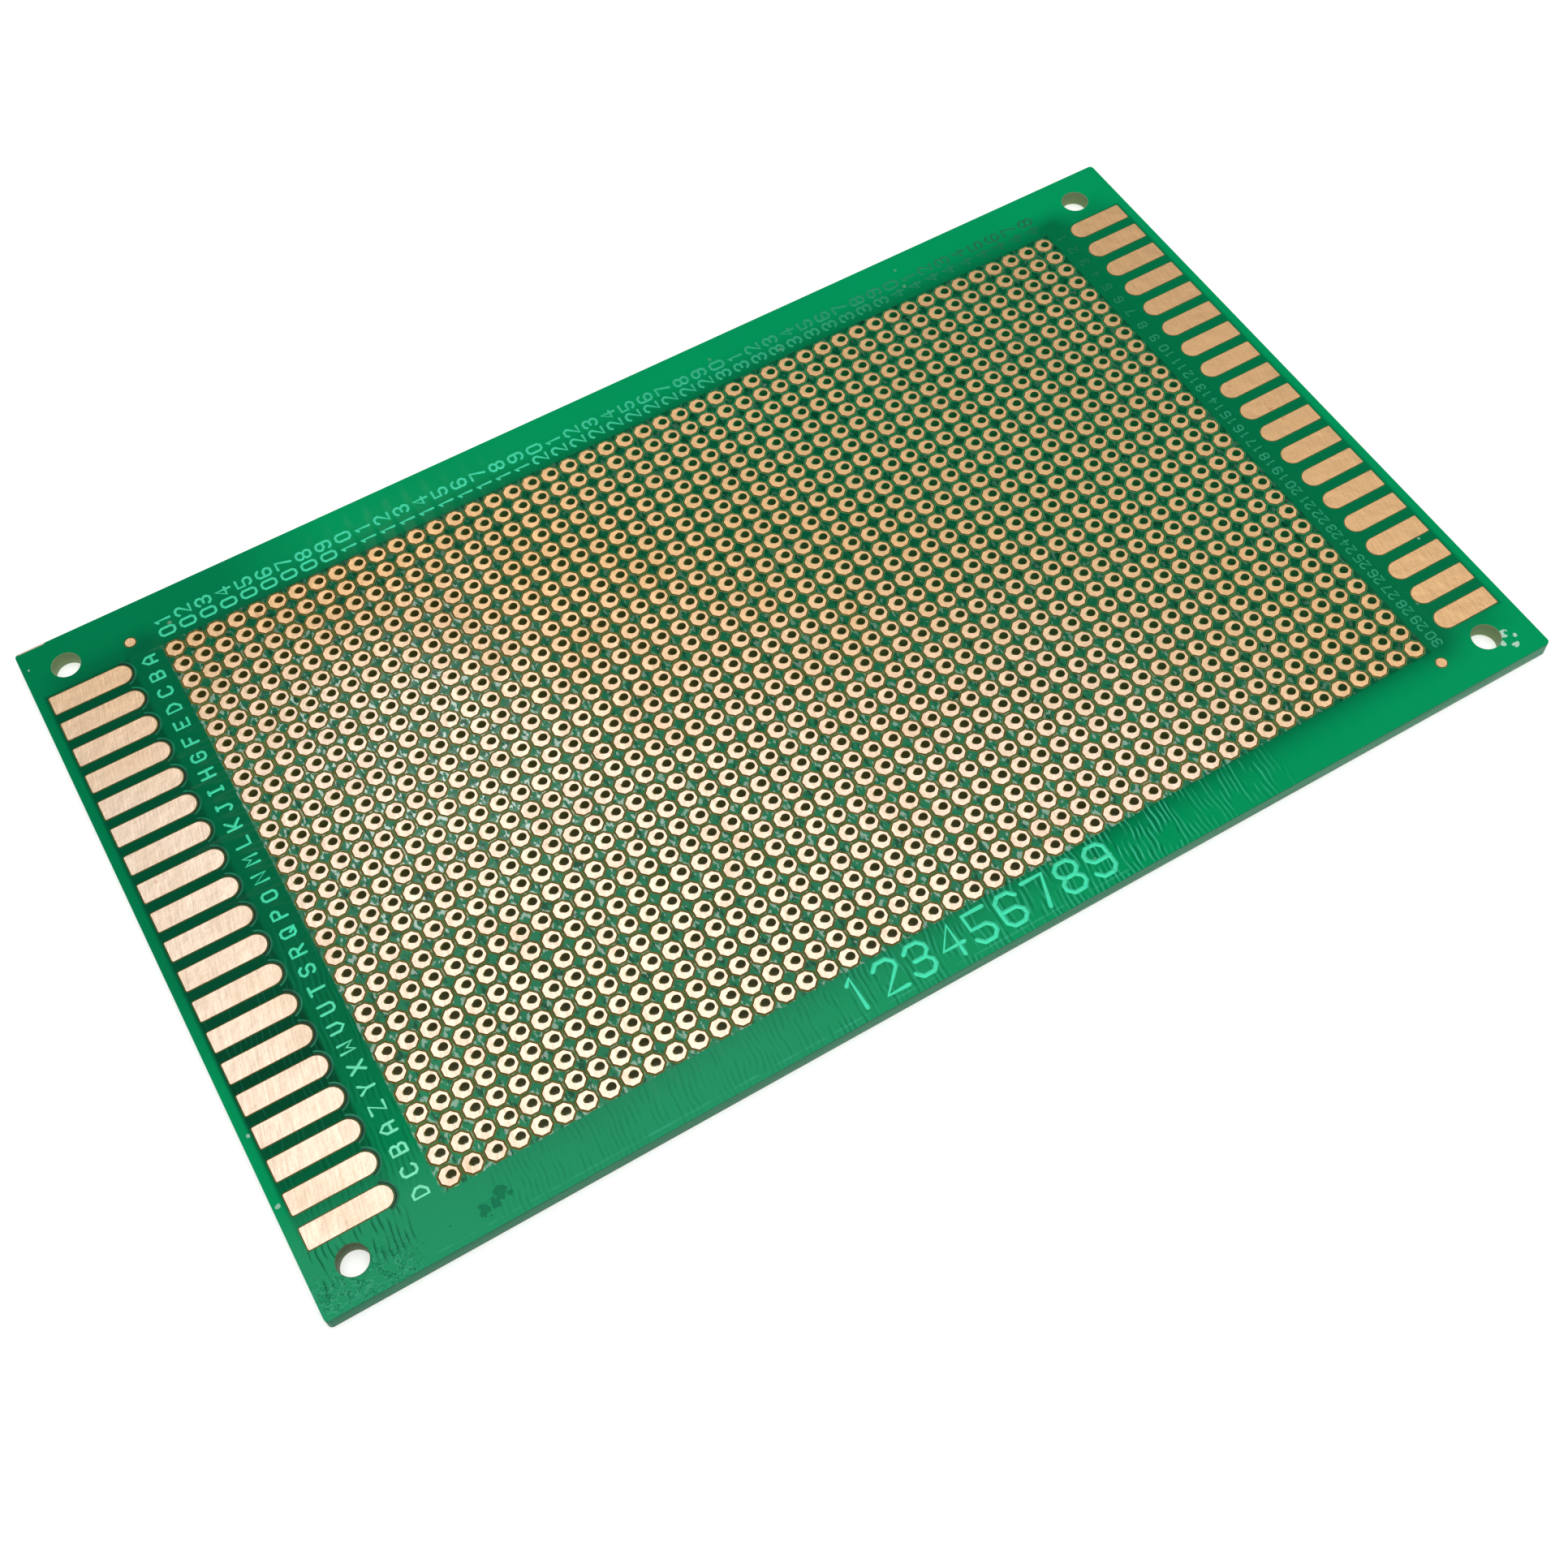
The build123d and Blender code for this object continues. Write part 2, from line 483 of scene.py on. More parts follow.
def model_mask():
    """The green film: one cell with an octagonal opening, repeated, and cut open over the rest."""
    sizes = bpy.context.scene.board_sizes
    opening = PAD_SIZE / 2 + sizes.pad_clearance
    side = opening * math.tan(math.radians(22.5))
    middle = Vector((FIRST_X, FIRST_Y, SHEET_TOP))
    cell = primitive(bpy.ops.mesh.primitive_plane_add, size=PITCH, location=middle)
    for reach in (-opening, -side, side, opening):
        bpy.ops.mesh.select_all(action="SELECT")
        cut(middle + Vector((reach, 0, 0)), (1, 0, 0))
        bpy.ops.mesh.select_all(action="SELECT")
        cut(middle + Vector((0, reach, 0)), (0, 1, 0))

    def between(value, low, high):
        return low - NUDGE < abs(value) < high + NUDGE

    for turn_x, turn_y in ((1, 1), (1, -1), (-1, 1), (-1, -1)):
        for out in (0.0, sizes.meniscus):
            normal = Vector((turn_x, turn_y, 0)).normalized()
            pick(
                cell,
                "FACE",
                lambda face: between(face.calc_center_median().x, side, opening)
                and between(face.calc_center_median().y, side, opening),
            )
            cut(middle + normal * (opening + out), normal)

    def in_opening(face):
        spot = face.calc_center_median()
        across = max(abs(spot.x), abs(spot.y))
        return across < opening and abs(spot.x) + abs(spot.y) < opening * math.sqrt(2)

    pick(cell, "FACE", in_opening)
    bpy.ops.mesh.delete(type="FACE")
    face_up(cell)
    leave_edit(cell)
    repeat(cell, COLUMNS, (PITCH, 0, 0))
    repeat(cell, ROWS, (0, -PITCH, 0))
    add_border(cell)
    thicken(cell, FILM_THICKNESS, upwards=True)
    sink_diamonds(cell, opening)
    high = FILM_TOP + MM
    low = SHEET_TOP - MM
    tools = [finger_tool(name, low, high) for name in LEFT_FINGERS + RIGHT_FINGERS]
    for name in DOTS:
        corner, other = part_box(name)
        centre = (corner + other) / 2
        diameter = other.x - corner.x + 2 * sizes.mask_clearance
        tools.append(ring_cutter([(centre.x, centre.y)], diameter, low, high))
    diameter = sizes.mount_diameter + 2 * sizes.mount_clearance
    tools.append(ring_cutter(mount_points(), diameter, low, high))
    subtract(cell, join(tools))
    cell.data.materials.append(mask_material())
    # Painted shade in a low band round the left finger tips, and a painted highlight on the raised ridge beyond it.
    moat = tip_strokes(0.2 * MM, 0.2 * MM, 0.002 * MM)
    moat.data.materials.append(film_material("painted shade round the finger tips", (0.001, 0.05, 0.02)))
    ridge = tip_strokes(0.42 * MM, 0.2 * MM, 0.012 * MM)
    ridge.data.materials.append(film_material("painted highlight on the mask ridge", (0.002, 0.27, 0.12)))
    return join([cell, moat, ridge])


def sink_diamonds(piece, opening):
    """Lowers the top of the film where four pads leave a diamond, so that its edges stand up."""
    select_only(piece)
    bpy.ops.object.mode_set(mode="EDIT")

    def off_pad(place, first):
        steps = (place - first) / PITCH
        return abs(steps - round(steps)) * PITCH

    def is_low(vertex):
        inside = GRID_LEFT + NUDGE < vertex.co.x < GRID_RIGHT - NUDGE
        inside = inside and GRID_BOTTOM + NUDGE < vertex.co.y < GRID_TOP - NUDGE
        return (
            inside
            and vertex.co.z > SHEET_TOP + FILM_THICKNESS / 2
            and off_pad(vertex.co.x, FIRST_X) > opening - NUDGE
            and off_pad(vertex.co.y, FIRST_Y) > opening - NUDGE
        )

    pick(piece, "VERT", is_low)
    bpy.ops.transform.translate(value=(0, 0, -bpy.context.scene.board_sizes.dish))
    leave_edit(piece)


def finger_sheet(name, grown, z):
    """A flat finger, round at the end that looks to the grid, and grown by a clearance."""
    low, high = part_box(name)
    towards_grid = 1 if name.startswith("left") else -1
    radius = (high.y - low.y) / 2
    tip = high.x if towards_grid > 0 else low.x
    outer = (low.x if towards_grid > 0 else high.x) - towards_grid * grown
    centre_x = tip - towards_grid * radius
    centre_y = (low.y + high.y) / 2
    sheet = primitive(
        bpy.ops.mesh.primitive_circle_add,
        vertices=40,
        radius=radius + grown,
        fill_type="NGON",
        location=(centre_x, centre_y, z),
    )
    cut((centre_x, centre_y, z), (towards_grid, 0, 0), clear_inner=True)
    local_x = 0.0
    pick(
        sheet,
        "EDGE",
        lambda edge: all(abs(end.co.x - local_x) < NUDGE for end in edge.verts),
    )
    bpy.ops.mesh.extrude_edges_move(TRANSFORM_OT_translate={"value": (outer - centre_x, 0, 0)})
    pick(sheet, "VERT", lambda vertex: abs(vertex.co.x - (outer - centre_x)) < NUDGE)
    bpy.ops.mesh.bevel(offset=0.22 * MM + grown, segments=4, affect="VERTICES")
    face_up(sheet)
    leave_edit(sheet)
    return sheet


def finger_tool(name, low, high):
    """The cutter that opens the mask over a finger."""
    sheet = finger_sheet(name, bpy.context.scene.board_sizes.mask_clearance, low)
    thicken(sheet, high - low, upwards=True)
    return sheet


def give_copper(piece):
    """In edit mode, clean copper for the flat faces and darker copper for the etched sides."""
    piece.data.materials.append(copper_material())
    piece.data.materials.append(etched_side_material())
    pick(piece, "FACE", lambda face: abs(face.normal.z) < 0.98)
    piece.active_material_index = 1
    bpy.ops.object.material_slot_assign()


def slope_rim(piece):
    """Insets the top face of a piece of copper and lowers its outline, as etching leaves it."""
    select_only(piece)
    bpy.ops.object.mode_set(mode="EDIT")
    pick(piece, "FACE", lambda face: face.normal.z > 0.9)
    bpy.ops.mesh.inset(thickness=bpy.context.scene.board_sizes.finger_edge, depth=0)
    pick(piece, "VERT", is_top_outline)
    bpy.ops.transform.translate(value=(0, 0, -0.8 * COPPER_THICKNESS))
    give_copper(piece)
    leave_edit(piece)


def is_top_outline(end):
    """True for a corner at the top of a wall."""
    below = any(edge.other_vert(end).co.z < COPPER_TOP - NUDGE for edge in end.link_edges)
    return below and end.co.z > COPPER_TOP - NUDGE


def is_top_edge(edge):
    """True for an edge between the top face and a wall of a piece of copper."""
    return all(end.co.z > COPPER_TOP - NUDGE for end in edge.verts) and edge.calc_face_angle(0) > 1


def model_finger(name):
    """An edge finger with its etched slope."""
    finger = finger_sheet(name, 0.0, SHEET_TOP)
    thicken(finger, COPPER_THICKNESS, upwards=True)
    slope_rim(finger)
    return finger


def model_pad():
    """The first pad: an octagon with its off-centre hole."""
    sizes = bpy.context.scene.board_sizes
    eighth = math.radians(22.5)
    pad = primitive(
        bpy.ops.mesh.primitive_circle_add,
        vertices=8,
        radius=PAD_SIZE / 2 / math.cos(eighth),
        location=(FIRST_X, FIRST_Y, SHEET_TOP),
        rotation=(0, 0, eighth),
    )
    x, y = drill_point(FIRST_X, FIRST_Y)
    bpy.ops.mesh.primitive_circle_add(
        vertices=sizes.hole_segments, radius=sizes.hole_diameter / 2, location=(x, y, SHEET_TOP)
    )
    bpy.ops.mesh.select_all(action="SELECT")
    bpy.ops.mesh.bridge_edge_loops()
    face_up(pad)
    leave_edit(pad)
    radius = sizes.hole_diameter / 2
    select_only(pad)
    bpy.ops.object.mode_set(mode="EDIT")
    for share, move in ((0.9, 0.25), (0.98, 0.75)):
        pick(
            pad,
            "VERT",
            lambda end: x - 1.5 * radius < end.co.x < x - share * radius and abs(end.co.y - y) < 0.4 * radius,
        )
        bpy.ops.transform.translate(value=(-move * sizes.notch, 0, 0))
    leave_edit(pad)
    thicken(pad, COPPER_THICKNESS, upwards=True)

    def is_outline(edge):
        middle = (edge.verts[0].co + edge.verts[1].co) / 2
        return is_top_edge(edge) and math.hypot(middle.x - FIRST_X, middle.y - FIRST_Y) > 0.95 * PAD_SIZE / 2

    def is_top_corner(end):
        reach = math.hypot(end.co.x - FIRST_X, end.co.y - FIRST_Y)
        return end.co.z > COPPER_TOP - NUDGE and reach > 0.9 * PAD_SIZE / 2

    select_only(pad)
    bpy.ops.object.mode_set(mode="EDIT")
    pick(pad, "EDGE", is_outline)
    drop = 0.8 * COPPER_THICKNESS
    bpy.ops.mesh.bevel(offset=drop, segments=1, affect="EDGES")
    pick(pad, "VERT", is_top_corner)
    shrink = (PAD_SIZE / 2 - sizes.copper_edge) / (PAD_SIZE / 2 - drop)
    bpy.ops.transform.resize(value=(shrink, shrink, 1), center_override=(FIRST_X, FIRST_Y, COPPER_TOP))
    give_copper(pad)
    leave_edit(pad)
    return pad


def model_dot(name):
    """A small round pad."""
    low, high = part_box(name)
    centre = (low + high) / 2
    dot = primitive(
        bpy.ops.mesh.primitive_cylinder_add,
        vertices=32,
        radius=(high.x - low.x) / 2,
        depth=COPPER_THICKNESS,
        location=centre,
    )
    leave_edit(dot)
    slope_rim(dot)
    return dot


def stroke_points(run, half_width):
    """Points of one stroke and their widths, with a rounded end before the first and after the last."""
    points = [Vector(point) for point in run]
    widths = [1.0] * len(points)
    if (points[0] - points[-1]).length < NUDGE:
        return points[:-1], widths[:-1], True
    start = (points[0] - points[1]).normalized() * half_width
    end = (points[-1] - points[-2]).normalized() * half_width
    points = [points[0] + start, points[0] + start * 0.6] + points + [points[-1] + end * 0.6, points[-1] + end]
    widths = [0.3, 0.8] + widths + [0.8, 0.3]
    return points, widths, False


def model_writing(places, wide, high, stroke, height, across, up):
    """Raised strokes for (character, centre) pairs, as a mesh that lies in the film."""
    runs = []
    for character, centre in places:
        for marks in STROKES[character]:
            run = []
            for mark in marks.split():
                right = (int(mark[0]) / GLYPH_WIDE - 0.5) * wide
                rise = (int(mark[1]) / GLYPH_HIGH - 0.5) * high
                run.append(centre + across * right + up * rise)
            runs.append(run)
    return model_strokes(runs, stroke, height)


def model_strokes(runs, stroke, height):
    """Raised strokes along runs of points: round tubes, pressed nearly flat above and in the film."""
    data = bpy.data.curves.new("strokes", "CURVE")
    data.dimensions = "3D"
    data.bevel_depth = stroke / 2
    data.bevel_resolution = 2
    data.use_fill_caps = True
    for run in runs:
        points, widths, closed = stroke_points(run, stroke / 2)
        spline = data.splines.new("POLY")
        spline.points.add(len(points) - 1)
        for slot, point, width in zip(spline.points, points, widths):
            slot.co = (*point, 1)
            slot.radius = width
        spline.use_cyclic_u = closed
    strokes = bpy.data.objects.new("strokes", data)
    bpy.context.collection.objects.link(strokes)
    select_only(strokes)
    bpy.ops.object.convert(target="MESH")
    strokes = bpy.context.object
    bpy.ops.object.mode_set(mode="EDIT")
    for side, level in ((1, FILM_TOP + height), (-1, FILM_TOP - FILM_THICKNESS * 0.8)):
        pick(strokes, "VERT", lambda vertex: side * (vertex.co.z - level) > 0)
        bpy.ops.transform.resize(value=(1, 1, 0.04), center_override=(0, 0, level))
    bpy.ops.mesh.select_all(action="SELECT")
    bpy.ops.mesh.normals_make_consistent(inside=False)
    leave_edit(strokes)
    return strokes


def tip_strokes(out, stroke, height):
    """Arcs that the film leaves round the tips of the left fingers, at a distance from the copper."""
    runs = []
    for name in LEFT_FINGERS:
        low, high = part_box(name)
        radius = (high.y - low.y) / 2
        centre_x = high.x - radius
        centre_y = (low.y + high.y) / 2
        reach = radius + out
        run = []
        for step in range(-8, 9):
            turn = math.radians(step * 9)
            run.append(Vector((centre_x + reach * math.cos(turn), centre_y + reach * math.sin(turn), FILM_TOP)))
        runs.append(run)
    return model_strokes(runs, stroke, height)


def sideways_text(text, x, y, advance):
    """Characters that read up the board, centred on x, y."""
    first = y - advance * (len(text) - 1) / 2
    return [(mark, Vector((x, first + index * advance, FILM_TOP))) for index, mark in enumerate(text)]


def shader(tree, kind, inputs=(), **settings):
    """Adds a node, sets it up, and links the inputs that come from other nodes."""
    node = tree.nodes.new(kind)
    for name, value in settings.items():
        setattr(node, name, value)
    for name, value in dict(inputs).items():
        if isinstance(value, bpy.types.NodeSocket):
            tree.links.new(value, node.inputs[name])
        else:
            node.inputs[name].default_value = value
    return node


def maths(tree, operation, first, second=0.0, clamp=False):
    """A math node's result."""
    return shader(
        tree, "ShaderNodeMath", {0: first, 1: second}, operation=operation, use_clamp=clamp
    ).outputs[0]


def blend(tree, mask, first, second):
    """A mix of two colours."""
    node = shader(tree, "ShaderNodeMix", {0: mask, 6: first, 7: second}, data_type="RGBA")
    return node.outputs[2]


def new_group(name, inputs):
    """An empty shader group with named inputs and one Mask output."""
    tree = bpy.data.node_groups.new(name, "ShaderNodeTree")
    for label, kind, value in inputs:
        socket = tree.interface.new_socket(label, in_out="INPUT", socket_type=kind)
        socket.default_value = value
    tree.interface.new_socket("Mask", in_out="OUTPUT", socket_type="NodeSocketFloat")
    return tree, tree.nodes.new("NodeGroupInput").outputs, tree.nodes.new("NodeGroupOutput").inputs


def patches_group():
    """Soft uneven patches, stretched and thresholded."""
    tree, given, result = new_group(
        "Patches",
        (
            ("Scale", "NodeSocketFloat", 200.0),
            ("Stretch", "NodeSocketVector", (1.0, 1.0, 1.0)),
            ("Low", "NodeSocketFloat", 0.4),
            ("High", "NodeSocketFloat", 0.7),
        ),
    )
    place = shader(tree, "ShaderNodeTexCoord").outputs["Object"]
    stretched = shader(
        tree, "ShaderNodeVectorMath", {0: place, 1: given["Stretch"]}, operation="MULTIPLY"
    ).outputs[0]
    cloud = shader(
        tree, "ShaderNodeTexNoise", {"Vector": stretched, "Scale": given["Scale"], "Detail": 3.0}
    ).outputs[0]
    level = shader(
        tree, "ShaderNodeMapRange", {"Value": cloud, "From Min": given["Low"], "From Max": given["High"]}
    ).outputs[0]
    tree.links.new(level, result["Mask"])
    return tree


def lines_group():
    """Fine lines along one direction, as brushing, wrinkles or scratches leave them."""
    tree, given, result = new_group(
        "Fine Lines",
        (
            ("Turn", "NodeSocketFloat", 0.0),
            ("Fineness", "NodeSocketFloat", 6000.0),
            ("Length", "NodeSocketFloat", 0.05),
            ("Low", "NodeSocketFloat", 0.5),
            ("High", "NodeSocketFloat", 0.7),
        ),
    )
    place = shader(tree, "ShaderNodeTexCoord").outputs["Object"]
    turned = shader(
        tree, "ShaderNodeVectorRotate", {"Vector": place, "Angle": given["Turn"]}, rotation_type="Z_AXIS"
    ).outputs[0]
    squeeze = shader(tree, "ShaderNodeCombineXYZ", {0: 1.0, 1: given["Length"], 2: 0.2}).outputs[0]
    run = shader(tree, "ShaderNodeVectorMath", {0: turned, 1: squeeze}, operation="MULTIPLY").outputs[0]
    cloud = shader(
        tree, "ShaderNodeTexNoise", {"Vector": run, "Scale": given["Fineness"], "Detail": 1.0, "Distortion": 0.6}
    ).outputs[0]
    level = shader(
        tree, "ShaderNodeMapRange", {"Value": cloud, "From Min": given["Low"], "From Max": given["High"]}
    ).outputs[0]
    tree.links.new(level, result["Mask"])
    return tree


def creases_group():
    """Thin wavy creases: lines of one level in a stretched cloud."""
    tree, given, result = new_group(
        "Creases",
        (
            ("Turn", "NodeSocketFloat", 0.0),
            ("Fineness", "NodeSocketFloat", 900.0),
            ("Length", "NodeSocketFloat", 0.3),
            ("Level", "NodeSocketFloat", 0.5),
            ("Width", "NodeSocketFloat", 0.06),
            ("Detail", "NodeSocketFloat", 0.0),
        ),
    )
    place = shader(tree, "ShaderNodeTexCoord").outputs["Object"]
    turned = shader(
        tree, "ShaderNodeVectorRotate", {"Vector": place, "Angle": given["Turn"]}, rotation_type="Z_AXIS"
    ).outputs[0]
    squeeze = shader(tree, "ShaderNodeCombineXYZ", {0: 1.0, 1: given["Length"], 2: 0.2}).outputs[0]
    run = shader(tree, "ShaderNodeVectorMath", {0: turned, 1: squeeze}, operation="MULTIPLY").outputs[0]
    cloud = shader(
        tree, "ShaderNodeTexNoise", {"Vector": run, "Scale": given["Fineness"], "Detail": given["Detail"]}
    ).outputs[0]
    away = maths(tree, "ABSOLUTE", maths(tree, "SUBTRACT", cloud, given["Level"]))
    level = shader(
        tree, "ShaderNodeMapRange", {"Value": away, "From Min": given["Width"], "From Max": 0.0}
    ).outputs[0]
    tree.links.new(level, result["Mask"])
    return tree


def ripples_group():
    """Fine wavy lines side by side, broken here and there."""
    tree, given, result = new_group(
        "Ripples",
        (
            ("Turn", "NodeSocketFloat", 0.0),
            ("Fineness", "NodeSocketFloat", 480.0),
            ("Wander", "NodeSocketFloat", 9.0),
            ("Low", "NodeSocketFloat", 0.8),
            ("High", "NodeSocketFloat", 0.97),
        ),
    )
    place = shader(tree, "ShaderNodeTexCoord").outputs["Object"]
    turned = shader(
        tree, "ShaderNodeVectorRotate", {"Vector": place, "Angle": given["Turn"]}, rotation_type="Z_AXIS"
    ).outputs[0]
    wave = shader(
        tree,
        "ShaderNodeTexWave",
        {
            "Vector": turned,
            "Scale": given["Fineness"],
            "Distortion": given["Wander"],
            "Detail": 1.0,
            "Detail Scale": 0.5,
            "Detail Roughness": 0.4,
        },
    ).outputs["Fac"]
    level = shader(
        tree, "ShaderNodeMapRange", {"Value": wave, "From Min": given["Low"], "From Max": given["High"]}
    ).outputs[0]
    squeezed = shader(
        tree, "ShaderNodeVectorMath", {0: turned, 1: (1.0, 0.4, 1.0)}, operation="MULTIPLY"
    ).outputs[0]
    cloud = shader(tree, "ShaderNodeTexNoise", {"Vector": squeezed, "Scale": 900.0, "Detail": 1.0}).outputs[0]
    whole = shader(tree, "ShaderNodeMapRange", {"Value": cloud, "From Min": 0.42, "From Max": 0.58}).outputs[0]
    tree.links.new(maths(tree, "MULTIPLY", level, whole), result["Mask"])
    return tree


def specks_group():
    """Scattered small spots of uneven size."""
    tree, given, result = new_group(
        "Specks",
        (
            ("Spacing", "NodeSocketFloat", 500.0),
            ("Share", "NodeSocketFloat", 0.2),
            ("Size", "NodeSocketFloat", 0.15),
        ),
    )
    place = shader(tree, "ShaderNodeTexCoord").outputs["Object"]
    wander = shader(tree, "ShaderNodeTexNoise", {"Vector": place, "Scale": 2500.0}).outputs["Color"]
    moved = shader(
        tree, "ShaderNodeVectorMath", {0: wander, 1: (0.0003, 0.0003, 0.0003), 2: place}, operation="MULTIPLY_ADD"
    ).outputs[0]
    cells = shader(tree, "ShaderNodeTexVoronoi", {"Vector": moved, "Scale": given["Spacing"]})
    chance = shader(tree, "ShaderNodeSeparateColor", {0: cells.outputs["Color"]}).outputs[0]
    chosen = maths(tree, "LESS_THAN", chance, given["Share"])
    near = shader(
        tree,
        "ShaderNodeMapRange",
        {"Value": cells.outputs["Distance"], "From Min": given["Size"], "From Max": 0.0},
    ).outputs[0]
    tree.links.new(maths(tree, "MULTIPLY", chosen, near, clamp=True), result["Mask"])
    return tree


def spot_group():
    """One ragged spot at a place."""
    tree, given, result = new_group(
        "Spot",
        (
            ("Centre", "NodeSocketVector", (0.0, 0.0, 0.0)),
            ("Radius", "NodeSocketFloat", 0.001),
            ("Ragged", "NodeSocketFloat", 0.5),
        ),
    )
    place = shader(tree, "ShaderNodeTexCoord").outputs["Object"]
    away = shader(tree, "ShaderNodeVectorMath", {0: place, 1: given["Centre"]}, operation="DISTANCE").outputs[1]
    share = maths(tree, "DIVIDE", away, given["Radius"])
    cloud = shader(tree, "ShaderNodeTexNoise", {"Vector": place, "Scale": 1700.0, "Detail": 2.0}).outputs[0]
    shake = maths(tree, "MULTIPLY", maths(tree, "SUBTRACT", cloud, 0.5), given["Ragged"])
    level = shader(
        tree, "ShaderNodeMapRange", {"Value": maths(tree, "ADD", share, shake), "From Min": 1.0, "From Max": 0.85}
    ).outputs[0]
    tree.links.new(level, result["Mask"])
    return tree


def field_group():
    """An upright rectangle in plan with soft sides."""
    tree, given, result = new_group(
        "Field",
        (
            ("Centre", "NodeSocketVector", (0.0, 0.0, 0.0)),
            ("Half Size", "NodeSocketVector", (0.01, 0.01, 1.0)),
            ("Soft", "NodeSocketFloat", 0.001),
        ),
    )
    place = shader(tree, "ShaderNodeTexCoord").outputs["Object"]
    away = shader(tree, "ShaderNodeVectorMath", {0: place, 1: given["Centre"]}, operation="SUBTRACT").outputs[0]
    away = shader(tree, "ShaderNodeVectorMath", {0: away}, operation="ABSOLUTE").outputs[0]
    away = shader(tree, "ShaderNodeVectorMath", {0: away, 1: given["Half Size"]}, operation="SUBTRACT").outputs[0]
    parts = shader(tree, "ShaderNodeSeparateXYZ", {0: away}).outputs
    outside = maths(tree, "MAXIMUM", parts[0], parts[1])
    level = shader(
        tree, "ShaderNodeMapRange", {"Value": outside, "From Min": given["Soft"], "From Max": 0.0}
    ).outputs[0]
    tree.links.new(level, result["Mask"])
    return tree


def painted_light_corner_group():
    """Painted light: strong towards the near left corner of the board, none at the far right one."""
    tree, given, result = new_group("Painted Light Corner", ())
    place = shader(tree, "ShaderNodeTexCoord").outputs["Object"]
    slant = shader(tree, "ShaderNodeVectorMath", {0: place, 1: (0.5, 1.0, 0.0)}, operation="DOT_PRODUCT").outputs[1]
    level = shader(
        tree,
        "ShaderNodeMapRange",
        {"Value": slant, "From Min": 22 * MM, "From Max": -26 * MM},
        interpolation_type="SMOOTHSTEP",
    ).outputs[0]
    parts = shader(tree, "ShaderNodeSeparateXYZ", {0: place}).outputs
    near = shader(
        tree,
        "ShaderNodeMapRange",
        {"Value": parts[0], "From Min": 62 * MM, "From Max": 25 * MM},
        interpolation_type="SMOOTHSTEP",
    ).outputs[0]
    tree.links.new(maths(tree, "MULTIPLY", level, near), result["Mask"])
    return tree


EFFECTS = {
    "Patches": patches_group,
    "Fine Lines": lines_group,
    "Creases": creases_group,
    "Ripples": ripples_group,
    "Specks": specks_group,
    "Spot": spot_group,
    "Field": field_group,
    "Painted Light Corner": painted_light_corner_group,
}


def effect(tree, name, **inputs):
    """The mask of a shared effect, with this material's own values."""
    group = bpy.data.node_groups.get(name) or EFFECTS[name]()
    node = shader(tree, "ShaderNodeGroup", node_tree=group)
    for label, value in inputs.items():
        node.inputs[label.replace("_", " ")].default_value = value
    return node.outputs["Mask"]


def new_material(name, **plain):
    """A material with its Principled shader, whose constant sockets are set by name."""
    material = bpy.data.materials.new(name)
    material.use_nodes = True
    principled = material.node_tree.nodes["Principled BSDF"]
    for label, value in plain.items():
        principled.inputs[label.replace("_", " ")].default_value = value
    return material, material.node_tree, principled


def connect(tree, principled, **sockets):
    """Links results to the shader's sockets."""
    for label, value in sockets.items():
        tree.links.new(value, principled.inputs[label.replace("_", " ")])


def bump(tree, height, strength, distance, normal=None):
    """A bump that feeds a normal."""
    inputs = {"Height": height, "Strength": strength, "Distance": distance}
    if normal is not None:
        inputs["Normal"] = normal
    return shader(tree, "ShaderNodeBump", inputs).outputs[0]


def tint(colour):
    """A colour with its alpha."""
    return (*colour, 1.0)


